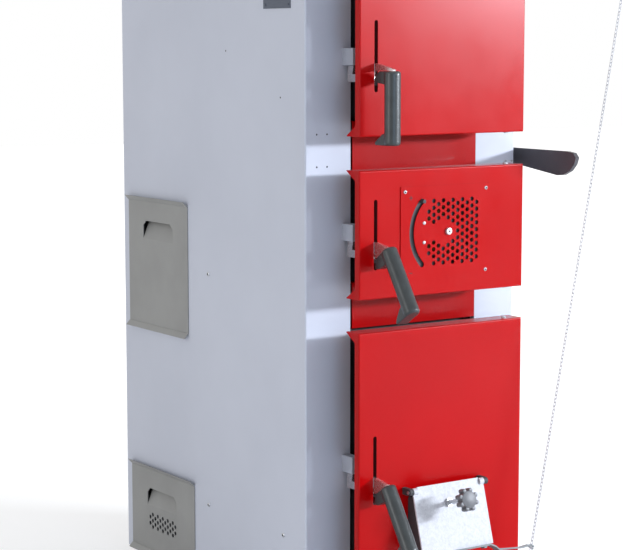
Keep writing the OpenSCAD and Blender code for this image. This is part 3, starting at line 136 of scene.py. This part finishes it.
class Paint:
    # one material: its fixed shader values by name, then what changes over the surface
    def __init__(self, name, **fixed):
        self.material = bpy.data.materials.new(name)
        self.material.use_nodes = True
        self.tree = self.material.node_tree
        self.shader = self.tree.nodes["Principled BSDF"]
        self.material["finish"] = name
        for key, value in fixed.items():
            self.shader.inputs[key.replace("_", " ")].default_value = value
        self.place = self.add("ShaderNodeTexCoord", output="Object")

    def add(self, kind, settings=None, inputs=None, output=0):
        node = self.tree.nodes.new(kind)
        for key, value in (settings or {}).items():
            setattr(node, key, value)
        for key, value in (inputs or {}).items():
            self.feed(node.inputs[key], value)
        return Value(self, node.outputs[output])

    def feed(self, socket, value):
        if isinstance(value, Value):
            self.tree.links.new(value.socket, socket)
        else:
            socket.default_value = value

    def set(self, name, value):
        self.feed(self.shader.inputs[name], value)
        return self

    def stretched(self, x, y, z):
        return self.add("ShaderNodeMapping", None, {"Vector": self.place, "Scale": (x, y, z)})

    def noise(self, scale, detail=3, where=None, roughness=0.55):
        return self.add("ShaderNodeTexNoise", None, {"Vector": where or self.place, "Scale": scale,
                                                     "Detail": detail, "Roughness": roughness})

    def cells(self, scale, where=None):
        return self.add("ShaderNodeTexVoronoi", None, {"Vector": where or self.place, "Scale": scale},
                        "Distance")

    def between(self, value, low, high, toLow=0.0, toHigh=1.0):
        return self.add("ShaderNodeMapRange", None, {"Value": value, "From Min": low, "From Max": high,
                                                     "To Min": toLow, "To Max": toHigh})

    def mix(self, mask, first, second):
        return self.add("ShaderNodeMix", {"data_type": "RGBA"}, {0: mask, 6: first, 7: second}, 2)

    def bump(self, height, strength, distance):
        return self.set("Normal", self.add("ShaderNodeBump", None, {"Height": height, "Strength": strength,
                                                                    "Distance": distance}))


# Finishes. Colours are (r, g, b) as the eye reads them. A mask comes first in mix and between.
def casingPaint():
    paint = Paint("casingPaint", IOR=1.45)
    cloud = paint.between(paint.noise(3.5, 4), 0.35, 0.65)
    paint.set("Base Color", paint.mix(cloud, linear(195, 199, 211), linear(200, 204, 216)))
    paint.set("Roughness", paint.between(paint.noise(11, 5), 0.3, 0.7, 0.40, 0.55))
    return paint.bump(paint.noise(900, 2), 0.12, 0.0001)


def redEnamel():
    paint = Paint("redEnamel", Specular_IOR_Level=0.15)
    cloud = paint.between(paint.noise(5, 3), 0.35, 0.65)
    paint.set("Base Color", paint.mix(cloud, linear(175, 2, 5), linear(181, 3, 6)))
    paint.set("Roughness", paint.between(paint.noise(18, 6), 0.3, 0.7, 0.22, 0.27))
    return paint.bump(paint.noise(420, 2), 0.08, 0.0001)


def stovePaint(name="stovePaint", light=(66, 67, 70), dark=(44, 45, 48)):
    paint = Paint(name, IOR=1.45)
    cloud = paint.noise(14, 6)
    colour = paint.mix(paint.between(cloud, 0.35, 0.65), linear(*dark), linear(*light))
    speck = paint.noise(240, 2) > 0.68
    paint.set("Base Color", paint.mix(speck * 0.5, colour, linear(*(v + 24 for v in light))))
    paint.set("Roughness", paint.between(cloud, 0.3, 0.7, 0.5, 0.72))
    return paint.bump(paint.noise(700, 3), 0.3, 0.0002)


def castIron():
    paint = Paint("castIron", Metallic=0.6)
    grain = paint.noise(160, 5)
    rust = paint.between(paint.noise(22, 6), 0.55, 0.72)
    paint.set("Base Color", paint.mix(rust, linear(70, 68, 66), linear(104, 72, 52)))
    paint.set("Roughness", paint.between(grain, 0.3, 0.7, 0.62, 0.85))
    return paint.bump(grain, 0.7, 0.0008)


def mineralWool():
    paint = Paint("mineralWool", Roughness=0.95, Specular_IOR_Level=0.2)
    fibres = paint.noise(90, 6, paint.stretched(1, 4, 9), 0.7)
    paint.set("Base Color", paint.mix(fibres, linear(178, 160, 112), linear(226, 214, 178)))
    return paint.bump(fibres, 0.9, 0.002)


def ropeBraid():
    paint = Paint("ropeBraid", Roughness=0.9, Specular_IOR_Level=0.2)
    strandsAndShade = paint.cells(260, paint.stretched(1, 1.6, 1))
    # darker between the strands: painted shade in the braid's creases; the same cells shape the bump
    paint.set("Base Color", paint.mix(strandsAndShade, linear(214, 212, 205), linear(150, 148, 142)))
    return paint.bump(1 - strandsAndShade, 0.9, 0.0012)


def latchSteel():
    paint = Paint("latchSteel", Metallic=0.9)
    lines = paint.noise(60, 4, paint.stretched(4, 4, 40))
    # the steel's grey is its own; the faint red in both tones is a painted reflection of the red doors
    dark = linear(205, 198, 198)
    stain = paint.between(paint.noise(30, 5), 0.55, 0.75, 0, 0.5)
    paint.set("Base Color", paint.mix(stain, paint.mix(lines, dark, linear(232, 226, 226)), dark))
    paint.set("Roughness", paint.between(lines, 0.3, 0.7, 0.16, 0.3))
    return paint.bump(lines, 0.15, 0.0002)


def zincPlate():
    paint = Paint("zincPlate", Metallic=0.85)
    grain = paint.noise(300, 4)
    cloud = paint.cells(180)
    paint.set("Base Color", paint.mix(cloud, linear(206, 207, 210), linear(172, 174, 178)))
    paint.set("Roughness", paint.between(grain, 0.3, 0.7, 0.26, 0.44))
    return paint.bump(grain, 0.12, 0.0001)


def gripPlastic():
    paint = Paint("gripPlastic", Specular_IOR_Level=0.5)
    dimple = paint.cells(330)
    cloud = paint.between(paint.noise(60, 4), 0.3, 0.7)
    paint.set("Base Color", paint.mix(cloud, linear(40, 45, 47), linear(54, 60, 61)))
    paint.set("Roughness", paint.between(dimple, 0.1, 0.6, 0.42, 0.3))
    return paint.bump(paint.between(dimple, 0.05, 0.45), 0.35, 0.0004)


# Coats that differ only in their numbers: colours, size of the clouds, shine, and the peel's size,
# detail and strength
coats = {
    "catchPaint": {"dark": (150, 153, 162), "light": (182, 186, 198), "cloud": 40, "shine": (0.38, 0.52),
                   "peel": (600, 2, 0.15), "fixed": {"IOR": 1.45}},
    "brightPlate": {"dark": (176, 177, 181), "light": (205, 206, 209), "cloud": 40, "shine": (0.38, 0.52),
                    "peel": (600, 2, 0.15), "fixed": {"IOR": 1.45}},
    "armPaint": {"dark": (92, 98, 100), "light": (112, 118, 120), "cloud": 40, "shine": (0.38, 0.52),
                 "peel": (600, 2, 0.15), "fixed": {"IOR": 1.45}},
    "knobPlastic": {"dark": (92, 93, 96), "light": (112, 113, 116), "cloud": 120, "shine": (0.34, 0.5),
                    "peel": (900, 2, 0.2), "fixed": {"IOR": 1.46}},
    "leverPaint": {"dark": (66, 65, 69), "light": (80, 78, 83), "cloud": 50, "shine": (0.34, 0.48),
                   "peel": (800, 2, 0.2), "fixed": {"IOR": 1.48}},
    "nickelBrass": {"dark": (196, 186, 150), "light": (214, 208, 186), "cloud": 80, "shine": (0.22, 0.38),
                    "peel": (500, 3, 0.1), "fixed": {"Metallic": 1.0}},
}


def coat(name):
    tone = coats[name]
    paint = Paint(name, **tone["fixed"])
    cloud = paint.noise(tone["cloud"], 5)
    paint.set("Base Color", paint.mix(cloud, linear(*tone["dark"]), linear(*tone["light"])))
    paint.set("Roughness", paint.between(cloud, 0.3, 0.7, *tone["shine"]))
    scale, detail, strength = tone["peel"]
    return paint.bump(paint.noise(scale, detail), strength, 0.0001)


def flapWhite():
    paint = Paint("flapWhite", IOR=1.45)
    crackle = paint.cells(120)
    grain = paint.noise(150, 6, roughness=0.7)
    colour = paint.mix(paint.between(grain, 0.38, 0.62), linear(190, 191, 197), linear(212, 213, 218))
    chips = paint.noise(36, 7, roughness=0.75) > 0.66
    paint.set("Base Color", paint.mix(chips * 0.3, colour, linear(160, 160, 167)))
    paint.set("Roughness", paint.between(grain, 0.3, 0.7, 0.42, 0.66))
    return paint.bump(grain + crackle * 0.4, 0.55, 0.0007)


def plateMetal():
    paint = Paint("plateMetal", Metallic=0.4)
    lines = paint.noise(50, 3, paint.stretched(1, 1, 30))
    paint.set("Base Color", paint.mix(lines, linear(62, 68, 80), linear(96, 104, 118)))
    paint.set("Roughness", paint.between(lines, 0.3, 0.7, 0.28, 0.42))
    return paint.bump(lines, 0.1, 0.0001)


def coverGrey():
    paint = Paint("coverGrey", IOR=1.45)
    cloud = paint.noise(9, 5)
    colour = paint.mix(paint.between(cloud, 0.35, 0.65), linear(141, 141, 139), linear(151, 151, 149))
    paint.set("Base Color", colour)
    paint.set("Roughness", paint.between(cloud, 0.3, 0.7, 0.38, 0.5))
    return paint.bump(paint.noise(850, 2), 0.15, 0.0001)


# A near-black finish painted as the shade inside holes, slots and recesses
def paintedShade(name="paintedShade", dark=(16, 15, 16), light=(30, 28, 30)):
    paint = Paint(name, Specular_IOR_Level=0.1)
    grain = paint.noise(500, 2)
    paint.set("Base Color", paint.mix(grain, linear(*dark), linear(*light)))
    return paint.set("Roughness", 0.9)


def floorPaint():
    paint = Paint("floorPaint", Roughness=0.9, Specular_IOR_Level=0.05)
    floor = studio["floor"]
    dark, light = ((tone, tone, tone, 1) for tone in (floor["tone"], floor["tone"] + floor["toneSpread"]))
    paint.set("Base Color", paint.mix(paint.noise(0.8, 3), dark, light))
    direct = seen = paint.add("ShaderNodeLightPath", output="Is Camera Ray")
    for name in ("Is Glossy Ray", "Is Transmission Ray"):
        seen = seen.maths("MAXIMUM", seen, paint.add("ShaderNodeLightPath", output=name))
    paint.set("Emission Strength", 1.0)
    away = paint.add("ShaderNodeVectorMath", {"operation": "LENGTH"}, {0: paint.place}, 1)
    near, far = floor["glow"]
    glow = seen * paint.between(away, *floor["glowReach"], 0.0, far) + direct * near
    return paint.set("Emission Color", paint.add("ShaderNodeCombineXYZ", None, {0: glow, 1: glow, 2: glow}))


def makeFloor(finish):
    shape = bmesh.new()
    squares = studio["floor"]["squares"]
    bmesh.ops.create_grid(shape, x_segments=squares, y_segments=squares, size=studio["floor"]["half"])
    mesh = bpy.data.meshes.new("studioFloor")
    shape.to_mesh(mesh)
    floor = inScene("studioFloor", mesh)
    floor.location.z = -studio["floor"]["sink"]
    mesh.materials.append(finish)


print("camera and studio")
makeCamera()
makeStudio()
print("finishes")
zinc = zincPlate().material
# near-black painted shade for screw crosses, the bolt's socket and empty holes
holeShade = paintedShade().material
plastic = gripPlastic().material
knobGrey = coat("knobPlastic").material

nodeFinishes = [
    (casingPaint().material, ["side_panel_left", "side_panel_right", "top_cover", "rear_panel",
                              "front_casing"]),
    (redEnamel().material, ["loading_cover", "stoking_cover", "ash_cover", "rosette_plate",
                            "cross_piece_upper", "cross_piece_lower"]),
    (stovePaint().material, ["base_frame", "front_plate", "outer_jacket", "firebox", "flue_baffle",
                             "cleaning_hatches", "flue_collar", "boiler_sockets", "ash_pan",
                             "rosette_disc", "flap_duct", "bypass_flap", "flue_damper", "hinge_lugs"]),
    (stovePaint("innerDoorPaint", (78, 80, 84), (56, 58, 62)).material,
     ["loading_inner", "stoking_inner", "ash_inner"]),
    (castIron().material, ["fire_grate"]),
    (mineralWool().material, ["insulation", "loading_pad", "stoking_pad", "ash_pad"]),
    (ropeBraid().material, ["loading_seal", "stoking_seal", "ash_seal"]),
    (latchSteel().material, ["loading_arm", "stoking_arm", "ash_arm"]),
    (coat("armPaint").material, ["chain_arm"]),
    (zinc, ["hinge_pins", "flap_pin", "flap_stud", "chain", "chain_hanger", "regulator_rod",
            "casing_screws", "rosette_screws"]),
    (coat("catchPaint").material, ["latch_catches"]),
    (flapWhite().material, ["flap_plate"]),
    (knobGrey, ["star_knob", "regulator_knob"]),
    (coat("leverPaint").material, ["bypass_lever"]),
    (plateMetal().material, ["name_plate"]),
    (coat("nickelBrass").material, ["regulator_body"]),
    (coverGrey().material, ["service_cover_upper", "service_cover_lower"]),
    (plastic, ["loading_grip", "stoking_grip", "ash_grip"]),
]
for finish, names in nodeFinishes:
    for name in names:
        cad[name].data.materials.clear()
        cad[name].data.materials.append(finish)
makeFloor(floorPaint().material)


def stacked(shape, rings):
    # skin over a stack of closed rings of equal count, closed at both ends
    rows = [[shape.verts.new(point) for point in ring] for ring in rings]
    count = len(rows[0])
    for low, high in zip(rows, rows[1:]):
        for i in range(count):
            shape.faces.new((low[i], low[(i + 1) % count], high[(i + 1) % count], high[i]))
    shape.faces.new(rows[0][::-1])
    shape.faces.new(rows[-1])


def ring(radius, z, count=32):
    turns = [2 * math.pi * i / count for i in range(count)]
    return [Vector((radius * math.cos(a), radius * math.sin(a), z)) for a in turns]


def rounded(radius, low, high, fillet, steps=4, count=32):
    # rings of a bar along Z with both ends rounded
    turns = [math.radians(90 * i / steps) for i in range(steps + 1)]
    ends = [(radius - fillet + fillet * math.sin(a), low + fillet - fillet * math.cos(a)) for a in turns]
    tops = [(radius - fillet + fillet * math.cos(a), high - fillet + fillet * math.sin(a)) for a in turns]
    return [ring(r, z, count) for r, z in ends + tops]


def placed(place, rings):
    return [[place @ point for point in row] for row in rings]


def block(shape, place, halfX, halfY, low, high):
    # a rectangular block standing on its place
    corners = ((-1, -1), (1, -1), (1, 1), (-1, 1))
    stacked(shape, placed(place, [[Vector((i * halfX, j * halfY, z)) for i, j in corners]
                                  for z in (low, high)]))


def asPiece(shape, name, body, finish, stands=(), smooth=35):
    # the shape as an object that rides on a body; smooth is the angle up to which edges look round
    bmesh.ops.recalc_face_normals(shape, faces=shape.faces)
    mesh = bpy.data.meshes.new(name)
    shape.to_mesh(mesh)
    shape.free()
    mesh.materials.append(finish)
    piece = inScene(name, mesh)
    if smooth:
        mesh.polygons.foreach_set("use_smooth", [True] * len(mesh.polygons))
        mesh.set_sharp_from_angle(angle=math.radians(smooth))
    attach(piece, body)
    if stands:
        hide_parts(*stands)
    return piece


def applied(piece):
    # the mesh that the piece's modifiers make, put in place of them
    graph = bpy.context.evaluated_depsgraph_get()
    made = bpy.data.meshes.new_from_object(piece.evaluated_get(graph))
    piece.modifiers.clear()
    piece.data = made
    return piece


print("handles")
handle = {"pivotX": -141.6, "pivotY": -395, "reach": 57, "radius": 13.5, "low": -109, "high": 12.4,
          "fillet": 4.5, "neckWidth": 19, "footWidth": 23, "voxel": 1.15, "ease": (0.5, 6),
          "neck": [(-57, 12), (-31, 12), (-19, 1), (-18, -3), (-24, -7), (-36, -8.5), (-57, -11)],
          "foot": [(-57, -88), (-43.5, -90), (-27, -101), (-23, -105), (-23, -109), (-57, -109)],
          "leanPoint": (-47, -1.5),
          "doors": [("loading", 959, 0), ("stoking", 663.5, 33.5), ("ash", 264, 33.5)]}


def sideSlab(shape, outline, width):
    # a slab across X, from its outline in Y and Z
    stacked(shape, [[Vector((x, y, z)) for y, z in outline] for x in (-width / 2, width / 2)])


def moulded(piece, voxel):
    # melts a piece's overlapping parts into one skin with soft inner corners
    melt = piece.modifiers.new("melt", "REMESH")
    melt.mode = "VOXEL"
    melt.voxel_size = voxel * mm
    melt.use_smooth_shade = True
    ease = piece.modifiers.new("ease", "SMOOTH")
    ease.factor, ease.iterations = handle["ease"]
    applied(piece)
    piece.data.polygons.foreach_set("use_smooth", [True] * len(piece.data.polygons))
    return piece


def makeGrip(door, pivotZ, lean):
    # a round bar with a neck to the pivot and a hooked foot, leaning round a point near its neck
    shape = bmesh.new()
    bar = rounded(handle["radius"], handle["low"], handle["high"], handle["fillet"])
    stacked(shape, placed(Matrix.Translation((0, -handle["reach"], 0)), bar))
    sideSlab(shape, handle["neck"], handle["neckWidth"])
    sideSlab(shape, handle["foot"], handle["footWidth"])
    centre = Matrix.Translation((0, *handle["leanPoint"]))
    turn = centre @ Matrix.Rotation(math.radians(-lean), 4, "X") @ centre.inverted()
    place = Matrix.Translation((handle["pivotX"] * mm, handle["pivotY"] * mm, pivotZ * mm))
    shape.transform(place @ Matrix.Scale(mm, 4) @ turn)
    grip = asPiece(shape, door + "GripMoulded", door + "_handle", plastic,
                   [door + "_grip"], smooth=0)
    return moulded(grip, handle["voxel"])


for door, pivotZ, lean in handle["doors"]:
    makeGrip(door, pivotZ, lean)

print("star knob")
flap = {"hinge": (0, -424, 258), "tilt": 16.2, "studX": -5, "studDrop": 27}
star = {"lobes": 8, "outer": 20.6, "lobeRadius": 4, "lobeEnds": (0.6, 14.2), "lobeFillet": 1.2,
        "discRadius": 15.2, "thick": 15, "rimFillet": 1.8, "dome": [(10.2, 15.96), (3, 16.6)],
        "hubRadius": 8.5, "hubEnds": (-8, 4), "hubFillet": 1, "stands": 46.5}


def flapPlace():
    return (Matrix.Translation(Vector(flap["hinge"]) * mm)
            @ Matrix.Rotation(math.radians(-flap["tilt"]), 4, "X") @ Matrix.Scale(mm, 4))


def makeStarKnob():
    # a domed disc with round lobes standing out of its rim; its own Z points out of the flap
    shape = bmesh.new()
    disc = rounded(star["discRadius"], 0, star["thick"], star["rimFillet"], 4, 64)
    stacked(shape, disc + [ring(radius, z, 64) for radius, z in star["dome"]])
    lobe = rounded(star["lobeRadius"], *star["lobeEnds"], star["lobeFillet"], 3, 24)
    offset = Matrix.Translation((star["outer"] - star["lobeRadius"], 0, 0))
    for i in range(star["lobes"]):
        turn = Matrix.Rotation(2 * math.pi * (i + 0.5) / star["lobes"], 4, "Z")
        stacked(shape, placed(turn @ offset, lobe))
    stacked(shape, rounded(star["hubRadius"], *star["hubEnds"], star["hubFillet"]))
    stud = Matrix.Translation((flap["studX"], -star["stands"], -flap["studDrop"]))
    shape.transform(flapPlace() @ stud @ Matrix.Rotation(math.radians(90), 4, "X"))
    return asPiece(shape, "starKnobMoulded", "star_knob", knobGrey, ["star_knob"])


makeStarKnob()

print("chain")
chain = {"top": (354, -460, 1121.6), "low": (156, -460, 124), "pitch": 6.5, "wire": 0.6, "half": 2.1,
         "straight": 2.0, "ball": 5, "around": 16, "across": 6}


def ovalLink(shape, place, turned):
    # one oval link along Z round the origin, its wire round
    around, across = chain["around"], chain["across"]
    frames = []
    for i in range(around):
        turn = 2 * math.pi * i / around
        side = 1 if math.sin(turn) >= 0 else -1
        centre = Vector((chain["half"] * math.cos(turn), 0, chain["half"] * math.sin(turn)))
        outward = Vector((math.cos(turn), 0, math.sin(turn)))
        frames.append((centre + Vector((0, 0, side * chain["straight"])), outward))
    rows = []
    for centre, outward in frames:
        row = []
        for k in range(across):
            a = 2 * math.pi * k / across
            point = centre + chain["wire"] * (math.cos(a) * outward + math.sin(a) * Vector((0, 1, 0)))
            row.append(shape.verts.new(place @ (turned @ point)))
        rows.append(row)
    for i in range(around):
        nextRow = rows[(i + 1) % around]
        for k in range(across):
            after = (k + 1) % across
            shape.faces.new((rows[i][k], rows[i][after], nextRow[after], nextRow[k]))


def makeChain():
    # links turned a quarter from one to the next, with a ball at the lower end
    shape = bmesh.new()
    top = Vector(chain["top"])
    run = Vector(chain["low"]) - top
    down = run.to_track_quat("Z", "Y").to_matrix().to_4x4()
    count = int(run.length / chain["pitch"])
    for i in range(count):
        place = Matrix.Translation(top + run * ((i + 0.5) * chain["pitch"] / run.length)) @ down
        ovalLink(shape, place, Matrix.Rotation(math.radians(90 * (i % 2)), 4, "Z"))
    end = Matrix.Translation(top + run) @ down
    ball = chain["ball"]
    stacked(shape, placed(end, rounded(ball, -ball, ball, ball, 6, 20)))
    shape.transform(Matrix.Scale(mm, 4))
    return asPiece(shape, "liftChain", "chain", coat("brightPlate").material, ["chain"])


makeChain()

print("screws, marks and small holes")


def facing(x, y, z, axis):
    # a place whose Z points along one of the world's axes
    turn = Vector(axis).to_track_quat("Z", "Y").to_matrix().to_4x4()
    return Matrix.Translation((x, y, z)) @ turn


def scaled(*shapes):
    for shape in shapes:
        shape.transform(Matrix.Scale(mm, 4))


# Heads are (radius, height, half the cross's length)
panHeads = {"profile": [(0.92, 0), (1, 0.25), (0.93, 0.6), (0.7, 0.88), (0.35, 1)], "crossWidth": 0.75,
            "crossEnds": (0.5, 0.05)}


def panHead(shape, shadows, place, head):
    # a domed screw head with a cross in it, its own Z out of the surface; the cross stands as a dark block
    # painted as the shade in its recess
    radius, height, cross = head
    dome = [ring(radius * wide, height * up) for wide, up in panHeads["profile"]]
    stacked(shape, placed(place, dome))
    share, above = panHeads["crossEnds"]
    for halfX, halfY in ((cross, panHeads["crossWidth"]), (panHeads["crossWidth"], cross)):
        block(shadows, place, halfX, halfY, height * share, height + above)


casingScrews = {"sideX": 225, "sides": [(0, 599), (4, 169), (-250, 167)], "sideHead": (4, 2.1, 1.9),
                "frontY": -320, "front": [(205, 806), (219, 806)], "frontHead": (2.3, 1.6, 1.1)}


def makeCasingScrews():
    heads, crosses = bmesh.new(), bmesh.new()
    for side in (-1, 1):
        for y, z in casingScrews["sides"]:
            place = facing(side * casingScrews["sideX"], y, z, (side, 0, 0))
            panHead(heads, crosses, place, casingScrews["sideHead"])
    for x, z in casingScrews["front"]:
        place = facing(x, casingScrews["frontY"], z, (0, -1, 0))
        panHead(heads, crosses, place, casingScrews["frontHead"])
    scaled(heads, crosses)
    asPiece(heads, "casingScrewHeads", "boiler", zinc, ["casing_screws"])
    # the crosses carry the painted shade finish
    asPiece(crosses, "casingScrewCrosses", "boiler", holeShade, smooth=0)


rosette = {"plateY": -407.5,
           "screws": [(-82.4, 768.8), (-82.4, 627.4), (90.6, 768.8), (90.6, 627.4)],
           "screwHead": (3.2, 1.7, 1.6), "rivets": [(-42.1, 714.6), (-42.1, 681.6)],
           "rivetHead": (3.0, 1.6, 0.3), "hub": (9.1, 698.1),
           "bolt": [(6.2, 0), (6.2, 3.0), (5.6, 3.9), (4.6, 4.1), (1.9, 4.1), (1.7, 3.2)],
           "socket": [(1.5, 3.0), (1.5, 3.3)], "nutY": -401.9,
           "nut": [(7.6, 0), (8, 0.6), (8, 4.4), (7.6, 5)], "shank": [(4, -5.4), (4, 6)]}


def makeRosetteScrews():
    # the plate's screws and rivets, and the hub's bolt with its nut and shank behind the plate; the crosses
    # and the bolt's socket are dark blocks painted as the shade in their recesses
    heads, crosses = bmesh.new(), bmesh.new()
    for spots, head in (("screws", "screwHead"), ("rivets", "rivetHead")):
        for x, z in rosette[spots]:
            panHead(heads, crosses, facing(x, rosette["plateY"], z, (0, -1, 0)), rosette[head])
    x, z = rosette["hub"]
    front = facing(x, rosette["plateY"], z, (0, -1, 0))
    back = facing(x, rosette["nutY"], z, (0, 1, 0))
    for shape, place, part, count in ((heads, front, "bolt", 32), (crosses, front, "socket", 12),
                                      (heads, back, "nut", 6), (heads, back, "shank", 20)):
        stacked(shape, placed(place, [ring(radius, up, count) for radius, up in rosette[part]]))
    scaled(heads, crosses)
    asPiece(heads, "rosetteScrewHeads", "stoking_door", zinc, ["rosette_screws"])
    asPiece(crosses, "rosetteScrewCrosses", "stoking_door", holeShade, smooth=0)


marks = {"x": -70, "plusZ": 758, "minusZ": 631, "long": 3.6, "wide": 0.9, "ends": (-0.3, 0.12)}


def makeMarks():
    # a plus above the arc slot and a minus below it, standing thinly on the plate
    shape = bmesh.new()
    long, wide = marks["long"], marks["wide"]
    for z, halfX, halfZ in ((marks["plusZ"], long, wide), (marks["plusZ"], wide, long),
                            (marks["minusZ"], long, wide)):
        place = facing(marks["x"], rosette["plateY"], z, (0, -1, 0))
        block(shape, place, halfX, halfZ, *marks["ends"])
    scaled(shape)
    mark = stovePaint("markPaint", (92, 14, 18), (74, 8, 12)).material
    asPiece(shape, "rosetteMarks", "stoking_door", mark, smooth=0)


smallHoles = {"front": [(-201.8, 864.6), (-201.8, 810), (-181, 864.6), (-181, 810)],
              "left": [(-66, 1003), (-244, 925)], "cup": [(1.5, -0.6), (1.5, 0.05), (1.0, 0.06)],
              "round": 16}


def makeSmallHoles():
    # empty screw holes of the casing, each a small dark disc painted as the shade inside the hole
    shape = bmesh.new()
    spots = [facing(x, casingScrews["frontY"], z, (0, -1, 0)) for x, z in smallHoles["front"]]
    spots += [facing(-casingScrews["sideX"], y, z, (-1, 0, 0)) for y, z in smallHoles["left"]]
    cup = [ring(radius, up, smallHoles["round"]) for radius, up in smallHoles["cup"]]
    for place in spots:
        stacked(shape, placed(place, cup))
    scaled(shape)
    asPiece(shape, "casingSmallHoles", "boiler", holeShade, smooth=0)


# Dark strips behind the handles' slots: painted shade, so that the slots read dark
slotShade = {"place": (-123.15, -371.5), "half": (0.55, 19.5), "halfHeight": 64,
            "doors": [("loading", 995), ("stoking", 699.5), ("ash", 300)]}


def makeSlotShade(door, middle, finish):
    # a dark strip on the inner door's side, behind the handle's slot, painted as the shade seen through the
    # slot
    shape = bmesh.new()
    rise = slotShade["halfHeight"]
    block(shape, Matrix.Translation((*slotShade["place"], middle)), *slotShade["half"], -rise, rise)
    scaled(shape)
    asPiece(shape, door + "SlotShade", door + "_door", finish, smooth=0)


makeCasingScrews()
makeRosetteScrews()
makeMarks()
makeSmallHoles()
# dark red painted shade behind each slot
slotShadePaint = paintedShade("slotShade", (44, 6, 8), (60, 10, 12)).material
for door, middle in slotShade["doors"]:
    makeSlotShade(door, middle, slotShadePaint)
